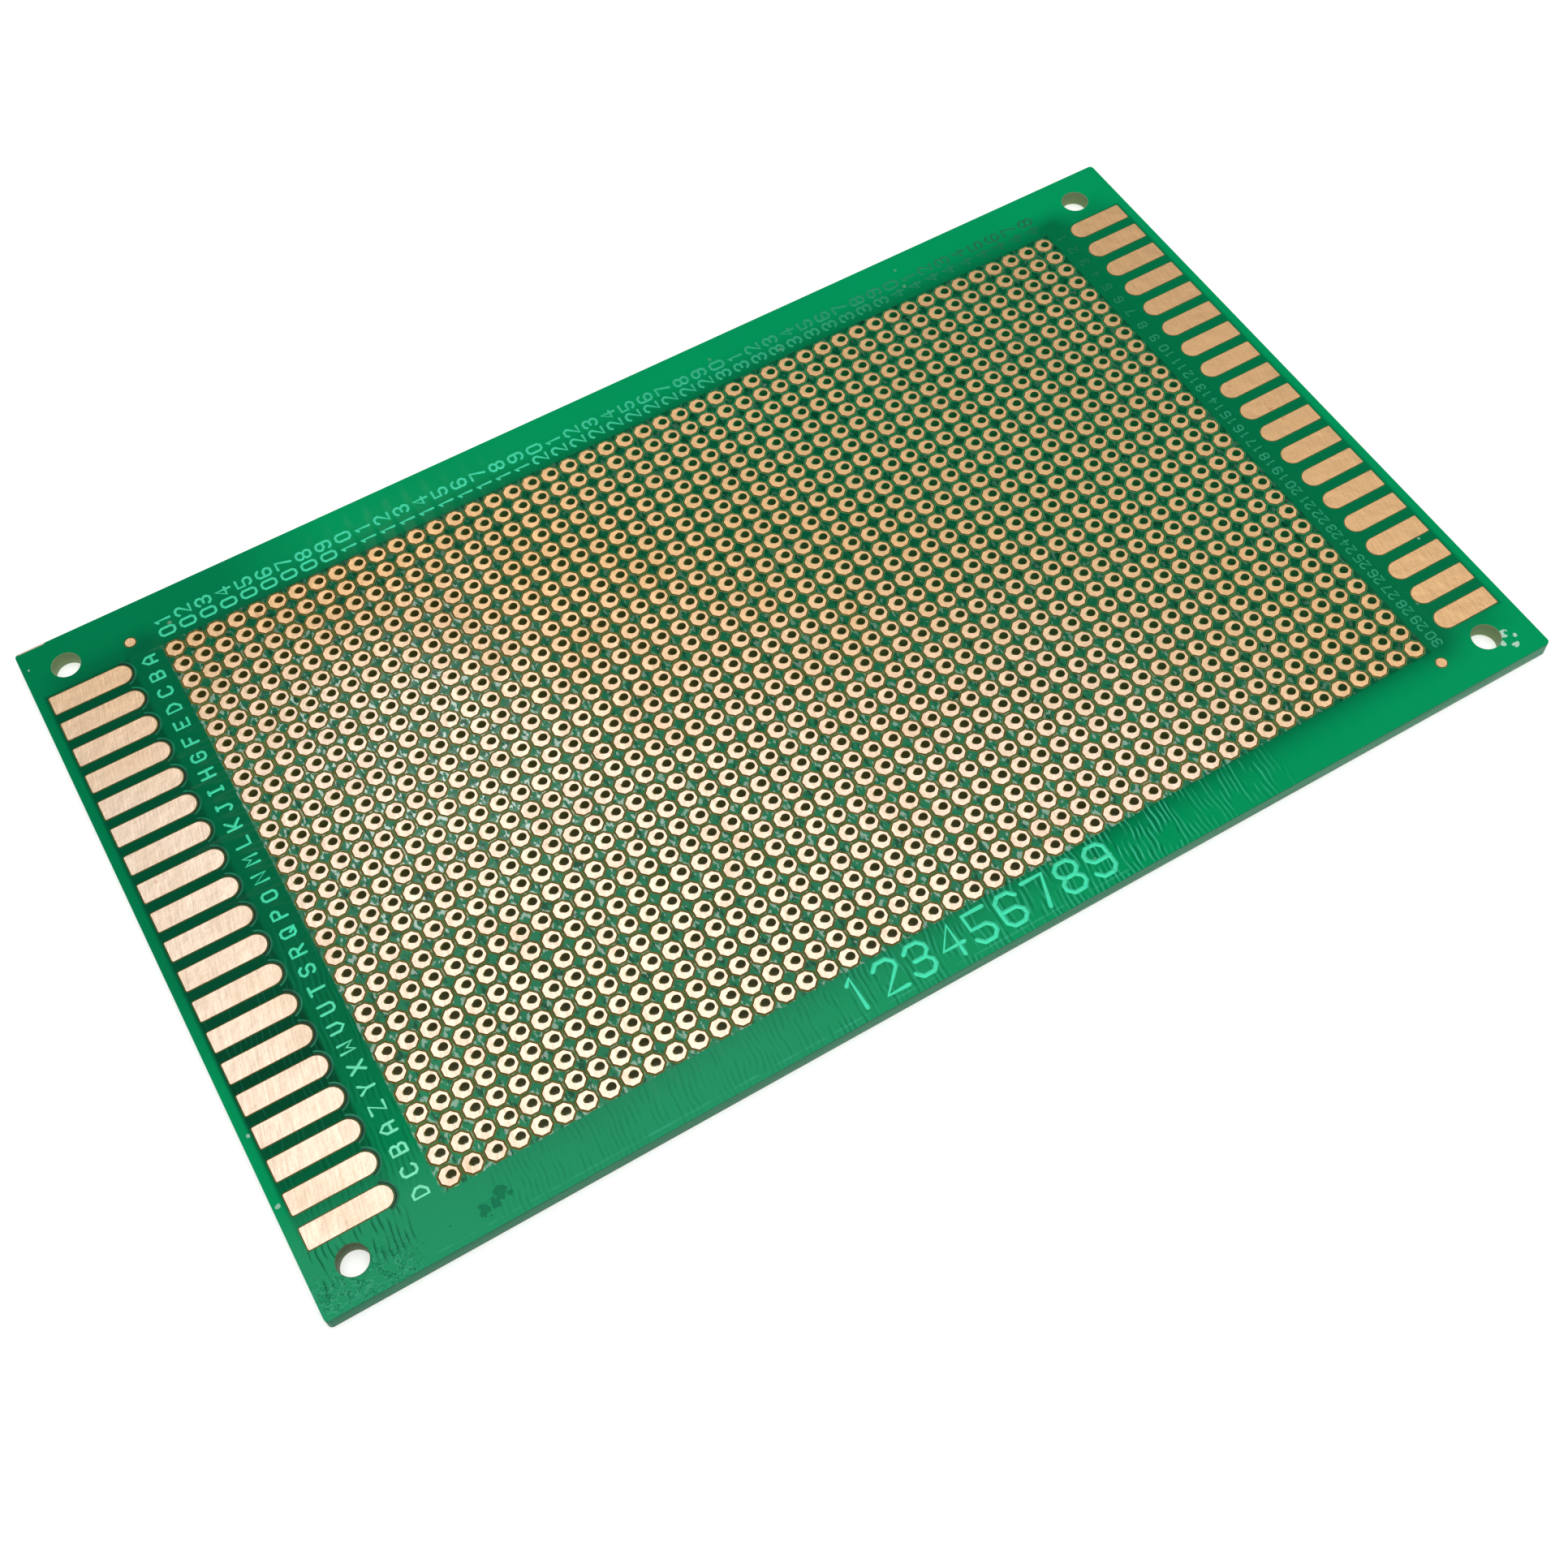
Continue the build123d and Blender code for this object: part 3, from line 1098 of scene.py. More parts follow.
def copper_material():
    """Etched bare copper, brushed across, with dull patches and a few red specks, and a painted highlight that turns
    it pale towards the near left corner and in the glare.
    """
    found = bpy.data.materials.get("etched copper")
    if found:
        return found
    colours = bpy.context.scene.board_colours
    material, tree, principled = new_material("etched copper", Metallic=1.0)
    brushed = effect(tree, "Fine Lines", Turn=math.radians(12), Fineness=4200.0, Length=0.06, Low=0.35, High=0.75)
    dull = effect(tree, "Patches", Scale=150.0, Low=0.5, High=0.85)
    stains = effect(tree, "Patches", Scale=700.0, Low=0.6, High=0.8)
    red = effect(tree, "Specks", Spacing=420.0, Share=0.2, Size=0.16)
    corner = Vector((FIRST_X + 4 * PITCH, FIRST_Y - PITCH, COPPER_TOP))
    worn = effect(tree, "Spot", Centre=corner, Radius=5.5 * MM, Ragged=1.2)
    # Painted highlight: away from the near left corner and the glare the copper keeps its tarnished colour, and
    # towards them it turns pale.
    painted_corner_light = effect(tree, "Painted Light Corner")
    glare = effect(
        tree, "Field", Centre=(-40 * MM, 8 * MM, 0), Half_Size=(4 * MM, 10 * MM, 1), Soft=16 * MM
    )
    bright = maths(tree, "ADD", painted_corner_light, maths(tree, "MULTIPLY", glare, 0.4))
    tarnish_outside_painted_highlight = maths(tree, "SUBTRACT", maths(tree, "ADD", maths(tree, "MULTIPLY", dull, 0.25), 1.0), bright, clamp=True)
    spoiled = maths(tree, "MULTIPLY", worn, stains)
    colour = blend(tree, tarnish_outside_painted_highlight, tint(colours.copper), tint(colours.tarnish_outside_painted_highlight))
    grain = effect(tree, "Patches", Scale=2600.0, Low=0.4, High=0.75)
    worked = maths(tree, "ADD", maths(tree, "MULTIPLY", brushed, 0.14), maths(tree, "MULTIPLY", grain, 0.24))
    colour = blend(tree, worked, colour, tint((0.62, 0.40, 0.22)))
    colour = blend(tree, maths(tree, "MULTIPLY", spoiled, 0.8), colour, tint((0.45, 0.22, 0.10)))
    colour = blend(tree, maths(tree, "MULTIPLY", red, 0.55), colour, tint((0.50, 0.16, 0.07)))
    rough = maths(tree, "ADD", maths(tree, "MULTIPLY", brushed, 0.10), 0.35)
    rough = maths(tree, "ADD", rough, maths(tree, "MULTIPLY", dull, 0.12))
    uneven = effect(tree, "Patches", Scale=600.0, Low=0.2, High=0.8)
    normal = bump(tree, uneven, 0.6, 0.055 * MM)
    normal = bump(tree, brushed, 0.5, 0.012 * MM, normal)
    connect(tree, principled, Base_Color=colour, Roughness=rough, Normal=normal)
    return material


def etched_side_material():
    """The etched sides of the copper, brown with oxide."""
    found = bpy.data.materials.get("etched sides")
    if found:
        return found
    material, tree, principled = new_material("etched sides", Metallic=1.0)
    stains = effect(tree, "Patches", Scale=1200.0, Low=0.3, High=0.7)
    colour = blend(tree, stains, tint((0.17, 0.09, 0.028)), tint((0.07, 0.05, 0.014)))
    rough = maths(tree, "ADD", maths(tree, "MULTIPLY", stains, 0.2), 0.5)
    normal = bump(tree, stains, 0.4, 0.01 * MM)
    connect(tree, principled, Base_Color=colour, Roughness=rough, Normal=normal)
    return material


def mask_material():
    """Glossy green film, with painted shade where copper keeps light out of the laminate below, and painted haze,
    glints and highlights.
    """
    found = bpy.data.materials.get("green mask")
    if found:
        return found
    colours = bpy.context.scene.board_colours
    material, tree, principled = new_material("green mask", IOR=1.5, Specular_IOR_Level=0.014, Coat_Roughness=0.2)
    grid_centre = Vector(((GRID_LEFT + GRID_RIGHT) / 2, (GRID_TOP + GRID_BOTTOM) / 2, 0))
    grid_half = Vector(((GRID_RIGHT - GRID_LEFT) / 2, (GRID_TOP - GRID_BOTTOM) / 2, 1))
    fields = [(grid_centre, grid_half)]
    for names in (LEFT_FINGERS, RIGHT_FINGERS):
        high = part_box(names[0])[1]
        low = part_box(names[-1])[0]
        half = (high - low) / 2
        fields.append((Vector((low.x + half.x, low.y + half.y, 0)), Vector((half.x, half.y, 1))))
    # Painted shade: the film darkens over the grid and round the fingers, and sharply close to their copper.
    near = None
    close = None
    for centre, half in fields:
        wide = effect(tree, "Field", Centre=centre, Half_Size=half, Soft=4.5 * MM)
        tight = effect(tree, "Field", Centre=centre, Half_Size=half, Soft=0.5 * MM)
        if centre.x > GRID_RIGHT:
            wide = maths(tree, "MULTIPLY", wide, 0.6)
            tight = maths(tree, "MULTIPLY", tight, 0.7)
        near = wide if near is None else maths(tree, "ADD", near, wide, clamp=True)
        close = tight if close is None else maths(tree, "MAXIMUM", close, tight)
        if centre.x < GRID_LEFT:
            finger_gap_shade = tight
    core_half = Vector((SHEET_HIGH.x - 4 * MM, SHEET_HIGH.y - 6 * MM, 1))
    core = effect(tree, "Field", Centre=(0, 0, 0), Half_Size=core_half, Soft=4 * MM)
    near = maths(tree, "MULTIPLY", maths(tree, "MULTIPLY", near, core), 0.72)
    grid = effect(tree, "Field", Centre=grid_centre, Half_Size=grid_half, Soft=0.1 * MM)
    # Painted haze: a veil of painted light over the grid and the near margin, strongest towards the near left corner;
    # it lightens the film and takes away part of the painted shade.
    near_margin = effect(
        tree, "Field", Centre=(0, SHEET_LOW.y, 0), Half_Size=(SHEET_HIGH.x, 7 * MM, 1), Soft=6 * MM
    )
    leftwards = effect(tree, "Field", Centre=(SHEET_LOW.x, 0, 0), Half_Size=(50 * MM, 1, 1), Soft=42 * MM)
    hazed = maths(tree, "MAXIMUM", maths(tree, "MULTIPLY", grid, 0.6), maths(tree, "MULTIPLY", near_margin, leftwards))
    corner_light = effect(tree, "Painted Light Corner")
    painted_corner_light = maths(tree, "MULTIPLY", corner_light, hazed)
    haze = maths(tree, "MULTIPLY_ADD", painted_corner_light, -0.4)
    haze.node.inputs[2].default_value = 1.0
    # Painted light at the lower left takes away more of the painted shade.
    low_left = effect(tree, "Field", Centre=(-68 * MM, -38 * MM, 0), Half_Size=(8 * MM, 5 * MM, 1), Soft=14 * MM)
    haze = maths(tree, "SUBTRACT", haze, maths(tree, "MULTIPLY", low_left, 0.5), clamp=True)
    shade = maths(tree, "MULTIPLY", maths(tree, "MAXIMUM", near, close), haze)
    finger_gap_shade = maths(tree, "MULTIPLY", finger_gap_shade, haze)
    cloud = effect(tree, "Patches", Scale=60.0, Low=0.25, High=0.8)
    colour = blend(tree, shade, tint(colours.mask), tint(colours.shaded_mask))
    # Painted shade between the left fingers.
    colour = blend(tree, maths(tree, "MULTIPLY", finger_gap_shade, 0.8), colour, tint((0.001, 0.045, 0.018)))
    colour = blend(tree, maths(tree, "MULTIPLY", cloud, 0.15), colour, tint(colours.shaded_mask))
    # Painted shade: the film is darker over the upper left part of the board.
    painted_upper_left_shade = effect(
        tree, "Field", Centre=(-70 * MM, 20 * MM, 0), Half_Size=(20 * MM, 24 * MM, 1), Soft=14 * MM
    )
    colour = blend(tree, maths(tree, "MULTIPLY", painted_upper_left_shade, 0.5), colour, tint((0.001, 0.12, 0.05)))
    # Painted haze: pale green light over the film towards the near left corner.
    colour = blend(tree, maths(tree, "MULTIPLY", painted_corner_light, 0.40), colour, tint((0.055, 0.36, 0.20)))
    glare = effect(
        tree, "Field", Centre=(-40 * MM, 8 * MM, 0), Half_Size=(4 * MM, 10 * MM, 1), Soft=16 * MM
    )
    lit = maths(tree, "ADD", maths(tree, "MULTIPLY", corner_light, 0.35), maths(tree, "MULTIPLY", glare, 0.7))
    sheen = maths(tree, "MULTIPLY", grid, maths(tree, "ADD", lit, 0.06))
    glints = effect(tree, "Patches", Scale=2100.0, Stretch=(1.0, 0.5, 1.0), Low=0.56, High=0.60)
    glints = maths(tree, "MULTIPLY", glints, sheen)
    # Painted shade: dark streaks in the film between the pads, beside the painted glints.
    painted_streak_shade = effect(tree, "Patches", Scale=1300.0, Stretch=(1.6, 0.6, 1.0), Low=0.50, High=0.66)
    colour = blend(tree, maths(tree, "MULTIPLY", maths(tree, "MULTIPLY", painted_streak_shade, grid), 0.7), colour, tint((0.001, 0.03, 0.012)))
    colour = blend(tree, maths(tree, "MULTIPLY", glints, 0.95), colour, tint((0.75, 0.92, 0.80)))
    dust = effect(tree, "Specks", Spacing=260.0, Share=0.22, Size=0.085)
    colour = blend(tree, maths(tree, "MULTIPLY", dust, 0.5), colour, tint((0.5, 0.65, 0.52)))
    for x, y, radius in ((70.9, -41.3, 0.5), (70.1, -42.1, 0.36), (72.0, -41.9, 0.36), (71.2, -42.9, 0.4)):
        scuff = effect(tree, "Spot", Centre=(x * MM, y * MM, FILM_TOP), Radius=radius * MM, Ragged=3.2)
        colour = blend(tree, maths(tree, "MULTIPLY", scuff, 0.85), colour, tint((0.62, 0.88, 0.74)))
    smudge = None
    for x, y, radius in ((-56.6, -42.6, 0.75), (-55.6, -42.5, 0.6), (-54.5, -41.7, 0.7), (-53.9, -42.1, 0.35)):
        part = effect(tree, "Spot", Centre=(x * MM, y * MM, FILM_TOP), Radius=radius * MM, Ragged=2.4)
        smudge = part if smudge is None else maths(tree, "MAXIMUM", smudge, part)
    colour = blend(tree, maths(tree, "MULTIPLY", smudge, 0.5), colour, tint((0.003, 0.11, 0.055)))
    # Pale marks with one painted glint among them, and small dark spots.
    for marks, mark_colour in ((PALE_MARKS_AND_GLINT, (0.55, 0.80, 0.68)), (DARK_SPOTS, (0.001, 0.03, 0.015))):
        for x, y, radius in marks:
            mark = effect(tree, "Spot", Centre=(x * MM, y * MM, FILM_TOP), Radius=radius * MM, Ragged=1.5)
            colour = blend(tree, maths(tree, "MULTIPLY", mark, 0.6), colour, tint(mark_colour))
    bare = effect(
        tree,
        "Field",
        Centre=(-72.6 * MM, SHEET_HIGH.y, 0),
        Half_Size=(1.55 * MM, 0.12 * MM, 1),
        Soft=0.1 * MM,
    )
    colour = blend(tree, bare, colour, tint((0.74, 0.58, 0.46)))
    # Painted highlight: a broken light line along the film near the near edge.
    lip_highlight = effect(
        tree,
        "Field",
        Centre=(-28 * MM, SHEET_LOW.y + 0.7 * MM, 0),
        Half_Size=(46 * MM, 0.04 * MM, 1),
        Soft=0.12 * MM,
    )
    broken = effect(tree, "Patches", Scale=350.0, Low=0.4, High=0.6)
    colour = blend(tree, maths(tree, "MULTIPLY", maths(tree, "MULTIPLY", lip_highlight, broken), 0.45), colour, tint((0.06, 0.55, 0.33)))
    peel = effect(tree, "Patches", Scale=420.0, Low=0.2, High=0.8)
    # Painted highlight and painted shadow on the bubbles of the film at the lower left corner.
    lump_highlights = effect(tree, "Creases", Fineness=1500.0, Length=1.0, Level=0.5, Width=0.05, Detail=2.0)
    lumpy = effect(
        tree, "Field", Centre=(-69.5 * MM, -43 * MM, 0), Half_Size=(4 * MM, 0.8 * MM, 1), Soft=2.5 * MM
    )
    lump_highlights = maths(tree, "MULTIPLY", lump_highlights, lumpy)
    lump_shadows = effect(tree, "Creases", Fineness=1500.0, Length=1.0, Level=0.56, Width=0.06, Detail=2.0)
    lump_shadows = maths(tree, "MULTIPLY", lump_shadows, lumpy)
    colour = blend(tree, maths(tree, "MULTIPLY", lump_shadows, 0.6), colour, tint((0.002, 0.10, 0.05)))
    colour = blend(tree, maths(tree, "MULTIPLY", lump_highlights, 0.45), colour, tint((0.10, 0.55, 0.36)))
    ripple = {"Turn": math.radians(6), "Fineness": 500.0, "Wander": 6.5}
    wrinkles = effect(tree, "Ripples", Low=0.76, High=0.96, **ripple)
    trough_shade = effect(tree, "Ripples", Low=0.30, High=0.04, **ripple)
    where = None
    for x, y, half_x, half_y, soft, amount in WRINKLED:
        place = effect(
            tree,
            "Field",
            Centre=(x * MM, y * MM, 0),
            Half_Size=(half_x * MM, half_y * MM, 1),
            Soft=soft * MM,
        )
        place = maths(tree, "MULTIPLY", place, amount)
        where = place if where is None else maths(tree, "MAXIMUM", where, place)
    wrinkles = maths(tree, "MULTIPLY", wrinkles, where)
    trough_shade = maths(tree, "MULTIPLY", trough_shade, where)
    rightwards = maths(tree, "MULTIPLY_ADD", leftwards, -0.85)
    rightwards.node.inputs[2].default_value = 1.0
    # Painted shade beside the wrinkles and a painted highlight along them, which fades to the left.
    colour = blend(tree, maths(tree, "MULTIPLY", trough_shade, 0.7), colour, tint((0.001, 0.065, 0.030)))
    bright = maths(tree, "MULTIPLY", wrinkles, rightwards)
    colour = blend(tree, maths(tree, "MULTIPLY", bright, 0.95), colour, tint((0.08, 0.68, 0.43)))
    rough = maths(tree, "ADD", maths(tree, "MULTIPLY", cloud, 0.10), 0.12)
    normal = bump(tree, peel, 0.7, 0.02 * MM)
    normal = bump(tree, wrinkles, 0.8, 0.06 * MM, normal)
    normal = bump(tree, glints, 0.6, 0.05 * MM, normal)
    gloss = maths(tree, "MULTIPLY", sheen, 0.6)
    connect(tree, principled, Base_Color=colour, Roughness=rough, Coat_Weight=gloss, Normal=normal)
    return material


def film_material(name, colour):
    """Green film of one given colour where it lies thicker or thinner than round about: painted shade in the low band
    and painted highlight on the ridge round the finger tips.
    """
    material, tree, principled = new_material(name, Specular_IOR_Level=0.2)
    uneven = effect(tree, "Patches", Scale=500.0, Low=0.35, High=0.7)
    darker = [0.4 * part for part in colour]
    rough = maths(tree, "ADD", maths(tree, "MULTIPLY", uneven, 0.1), 0.15)
    mixed = blend(tree, uneven, tint(colour), tint(darker))
    connect(tree, principled, Base_Color=mixed, Roughness=rough, Normal=bump(tree, uneven, 0.4, 0.01 * MM))
    return material


def legend_material():
    """Green film over etched copper strokes, which shine through it."""
    found = bpy.data.materials.get("mask over copper")
    if found:
        return found
    colours = bpy.context.scene.board_colours
    material, tree, principled = new_material("mask over copper", Metallic=0.6, Specular_IOR_Level=0.1)
    thin = effect(tree, "Patches", Scale=900.0, Low=0.35, High=0.8)
    pin = effect(tree, "Specks", Spacing=1500.0, Share=0.3, Size=0.2)
    colour = blend(tree, maths(tree, "MULTIPLY", thin, 0.4), tint(colours.legend), tint((0.12, 0.75, 0.45)))
    colour = blend(tree, maths(tree, "MULTIPLY", pin, 0.6), colour, tint(colours.shaded_mask))
    place = shader(tree, "ShaderNodeTexCoord").outputs["Object"]
    # Painted shade: the strokes darken towards the far right and at the right end.
    slant = shader(tree, "ShaderNodeVectorMath", {0: place, 1: (1.0, 1.0, 0.0)}, operation="DOT_PRODUCT").outputs[1]
    far = shader(
        tree, "ShaderNodeMapRange", {"Value": slant, "From Min": 25 * MM, "From Max": 95 * MM, "To Max": 0.9}
    ).outputs[0]
    right_end = effect(
        tree, "Field", Centre=(SHEET_HIGH.x, 0, 0), Half_Size=(12 * MM, 1, 1), Soft=8 * MM
    )
    far = maths(tree, "MAXIMUM", far, maths(tree, "MULTIPLY", right_end, 0.6))
    colour = blend(tree, far, colour, tint((0.01, 0.17, 0.06)))
    # Painted highlight: the strokes are paler towards the lower left corner of the grid.
    corner = effect(
        tree, "Field", Centre=(GRID_LEFT, GRID_BOTTOM, 0), Half_Size=(3 * MM, 6 * MM, 1), Soft=25 * MM
    )
    colour = blend(tree, maths(tree, "MULTIPLY", corner, 0.5), colour, tint((0.35, 0.85, 0.58)))
    rough = maths(tree, "ADD", maths(tree, "MULTIPLY", thin, 0.15), 0.36)
    normal = bump(tree, thin, 0.4, 0.01 * MM)
    connect(tree, principled, Base_Color=colour, Roughness=rough, Normal=normal)
    return material


def laminate_material():
    """Woven glass in epoxy, with its layers on the cut edges and hole walls."""
    found = bpy.data.materials.get("glass epoxy")
    if found:
        return found
    colours = bpy.context.scene.board_colours
    material, tree, principled = new_material("glass epoxy", IOR=1.55, Specular_IOR_Level=0.05)
    place = shader(tree, "ShaderNodeTexCoord").outputs["Object"]
    parts = shader(tree, "ShaderNodeSeparateXYZ", {0: place}).outputs
    layers = effect(tree, "Patches", Scale=40.0, Stretch=(1.0, 1.0, 220.0), Low=0.35, High=0.65)
    crushed = effect(tree, "Patches", Scale=300.0, Stretch=(1.0, 1.0, 2.0), Low=0.45, High=0.75)
    inner = Vector((SHEET_HIGH.x - 0.4 * MM, SHEET_HIGH.y - 0.4 * MM, 1))
    inside = effect(tree, "Field", Centre=(0, 0, 0), Half_Size=inner, Soft=0.1 * MM)
    edge = blend(tree, layers, tint(colours.edge), tint([0.55 * part for part in colours.edge]))
    # Painted shade: the cut edge darkens towards the left end.
    along = shader(
        tree, "ShaderNodeMapRange", {"Value": parts[0], "From Min": SHEET_HIGH.x, "From Max": SHEET_LOW.x}
    ).outputs[0]
    edge = blend(tree, maths(tree, "MULTIPLY", along, 0.75), edge, tint((0.008, 0.15, 0.075)))
    edge = blend(tree, maths(tree, "MULTIPLY", crushed, 0.3), edge, tint((0.14, 0.33, 0.22)))
    core = blend(tree, maths(tree, "MULTIPLY", layers, 0.5), tint(colours.laminate), tint((0.07, 0.075, 0.015)))
    # Painted light: the bare laminate in the rings and hole walls turns mask green towards the far right.
    far_right = maths(tree, "ADD", parts[0], parts[1])
    far_right = shader(
        tree, "ShaderNodeMapRange", {"Value": far_right, "From Min": -5 * MM, "From Max": 45 * MM, "To Max": 0.85}
    ).outputs[0]
    core = blend(tree, far_right, core, tint((0.010, 0.33, 0.11)))
    # Painted shade along the bottom rim of the cut edge.
    low_rim = maths(tree, "LESS_THAN", parts[2], 0.16 * MM)
    edge = blend(tree, low_rim, edge, tint((0.035, 0.06, 0.045)))
    high_rim = maths(tree, "GREATER_THAN", parts[2], SHEET_TOP - 0.1 * MM)
    edge = blend(tree, high_rim, edge, tint((0.004, 0.09, 0.06)))
    # Painted shade on the wall of the near left mounting hole, and painted light on the walls of the others.
    for x, y in mount_points():
        mount = effect(tree, "Spot", Centre=(x, y, SHEET_TOP - SHEET_THICKNESS / 2), Radius=3.2 * MM, Ragged=0.0)
        wall = (0.12, 0.17, 0.08) if x < 0 and y < 0 else (0.24, 0.34, 0.17)
        core = blend(tree, mount, core, tint(wall))
    colour = blend(tree, inside, edge, core)
    under = maths(tree, "LESS_THAN", parts[2], 0.02 * MM)
    weave_x = maths(tree, "SINE", maths(tree, "MULTIPLY", parts[0], 2 * math.pi / (1.3 * MM)))
    weave_y = maths(tree, "SINE", maths(tree, "MULTIPLY", parts[1], 2 * math.pi / (1.5 * MM)))
    weave = maths(tree, "MULTIPLY_ADD", maths(tree, "MULTIPLY", weave_x, weave_y), 0.5)
    weave.node.inputs[2].default_value = 0.5
    back = blend(tree, weave, tint((0.40, 0.42, 0.19)), tint((0.44, 0.46, 0.22)))
    colour = blend(tree, under, colour, back)
    rough = maths(tree, "ADD", maths(tree, "MULTIPLY", crushed, 0.2), 0.42)
    normal = bump(tree, weave, 0.15, 0.01 * MM)
    connect(tree, principled, Base_Color=colour, Roughness=rough, Normal=normal)
    return material


def floor_material():
    """Plain pale floor with a faint unevenness."""
    material, tree, principled = new_material("pale floor", Emission_Strength=0.5)
    cloud = effect(tree, "Patches", Scale=9.0, Low=0.3, High=0.7)
    floor = bpy.context.scene.board_colours.floor
    colour = blend(tree, cloud, tint(floor), tint([0.985 * part for part in floor]))
    rough = maths(tree, "ADD", maths(tree, "MULTIPLY", cloud, 0.05), 0.75)
    connect(tree, principled, Base_Color=colour, Roughness=rough, Emission_Color=colour)
    return material


class BuildLaminate(bpy.types.Operator):
    """Model the drilled laminate"""

    bl_idname = "board.laminate"
    bl_label = "Laminate"

    def execute(self, context):
        hand_over(model_laminate(), "drilled_laminate", laminate_material(), "laminate", ["laminate"])
        return {"FINISHED"}


class BuildMask(bpy.types.Operator):
    """Model the green film with its openings"""

    bl_idname = "board.mask"
    bl_label = "Green Mask"

    def execute(self, context):
        hand_over(model_mask(), "green_mask", mask_material(), "solder_mask", ["solder_mask"])
        return {"FINISHED"}


class BuildPads(bpy.types.Operator):
    """Model one pad, repeat it into a row, and copy the row down the grid"""

    bl_idname = "board.pads"
    bl_label = "Copper Pads"

    def execute(self, context):
        first = model_pad()
        repeat(first, COLUMNS, (PITCH, 0, 0))
        for row in range(ROWS, 0, -1):
            piece = first if row == 1 else copy_of(first, (0, -PITCH * (row - 1), 0))
            replaced = [f"pad_row_{row:02d}"] if row in FRAME_PAD_ROWS else []
            hand_over(piece, f"copper_pads_{row:02d}", copper_material(), "copper", replaced)
        return {"FINISHED"}


class BuildFingers(bpy.types.Operator):
    """Model the edge fingers at both ends of the board"""

    bl_idname = "board.fingers"
    bl_label = "Edge Fingers"

    def execute(self, context):
        for names in (LEFT_FINGERS, RIGHT_FINGERS):
            first = model_finger(names[0])
            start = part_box(names[0])[0]
            for name in reversed(names):
                piece = first if name == names[0] else copy_of(first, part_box(name)[0] - start)
                hand_over(piece, f"copper_{name}", copper_material(), "copper", [name])
        return {"FINISHED"}


class BuildDots(bpy.types.Operator):
    """Model the two datum dots"""

    bl_idname = "board.dots"
    bl_label = "Datum Dots"

    def execute(self, context):
        for name in DOTS:
            hand_over(model_dot(name), f"copper_{name}", copper_material(), "copper", [name])
        return {"FINISHED"}


class BuildColumnNumbers(bpy.types.Operator):
    """Model the etched column numbers above the grid"""

    bl_idname = "board.column_numbers"
    bl_label = "Column Numbers"

    def execute(self, context):
        places = []
        for column in range(COLUMNS):
            x = FIRST_X + column * PITCH + 0.15 * MM
            places += sideways_text(f"{column + 1:02d}", x, 39.75 * MM, 1.75 * MM)
        made = model_writing(
            places, 1.08 * MM, 1.74 * MM, 0.35 * MM, 0.02 * MM, Vector((0, 1, 0)), Vector((-1, 0, 0))
        )
        hand_over(made, "column_numbers", legend_material(), "solder_mask")
        return {"FINISHED"}


class BuildRowLetters(bpy.types.Operator):
    """Model the etched row letters beside the left fingers"""

    bl_idname = "board.row_letters"
    bl_label = "Row Letters"

    def execute(self, context):
        letters = "ABCDEFGHIJKLMNOPQRSTUVWXYZABCD"
        places = []
        for row, letter in enumerate(letters):
            places += sideways_text(letter, -61.38 * MM, FIRST_Y - row * PITCH, 0.0)
        made = model_writing(
            places, 1.02 * MM, 1.56 * MM, 0.34 * MM, 0.02 * MM, Vector((0, 1, 0)), Vector((-1, 0, 0))
        )
        hand_over(made, "row_letters", legend_material(), "solder_mask")
        return {"FINISHED"}


class BuildRowNumbers(bpy.types.Operator):
    """Model the etched row numbers beside the right fingers"""

    bl_idname = "board.row_numbers"
    bl_label = "Row Numbers"

    def execute(self, context):
        places = []
        for row in range(ROWS):
            places += sideways_text(str(row + 1), 63.92 * MM, FIRST_Y - row * PITCH - 0.1 * MM, 1.12 * MM)
        made = model_writing(
            places, 0.74 * MM, 1.1 * MM, 0.23 * MM, 0.02 * MM, Vector((0, 1, 0)), Vector((-1, 0, 0))
        )
        hand_over(made, "row_numbers", legend_material(), "solder_mask")
        return {"FINISHED"}


class BuildSizeNumbers(bpy.types.Operator):
    """Model the large plain numbers below the grid"""

    bl_idname = "board.size_numbers"
    bl_label = "Size Numbers"

    text: StringProperty(name="Text", description="Plain numbers, a space is an empty cell", default="123456789")

    def execute(self, context):
        advance = 3.73 * MM
        middle = Vector((1.2 * MM, -41.55 * MM, FILM_TOP))
        first = -advance * (len(self.text) - 1) / 2
        places = [
            (mark, middle + Vector((first + index * advance, 0, 0)))
            for index, mark in enumerate(self.text)
            if mark != " "
        ]
        made = model_writing(
            places, 2.45 * MM, 3.75 * MM, 0.56 * MM, 0.03 * MM, Vector((1, 0, 0)), Vector((0, 1, 0))
        )
        hand_over(made, "size_numbers", legend_material(), "solder_mask")
        return {"FINISHED"}


class BuildStage(bpy.types.Operator):
    """Set the floor, the lights and the camera"""

    bl_idname = "board.stage"
    bl_label = "Stage"

    def execute(self, context):
        scene = context.scene
        floor = primitive(bpy.ops.mesh.primitive_grid_add, x_subdivisions=8, y_subdivisions=8, size=6.0)
        leave_edit(floor)
        floor.name = "floor"
        floor.data.materials.append(floor_material())
        add_softbox("overhead softbox", (0.1, -0.03, 1.3), 1.5, 1.3, 1.34)
        add_softbox("window", (0.153, 0.849, 1.226), 0.06, 0.1, 36.0)
        world = bpy.data.worlds.new("pale room")
        world.use_nodes = True
        background = world.node_tree.nodes["Background"]
        background.inputs["Color"].default_value = (1.0, 1.0, 1.0, 1.0)
        background.inputs["Strength"].default_value = 0.42
        scene.world = world
        scene.view_settings.view_transform = "Standard"
        add_camera(scene)
        return {"FINISHED"}


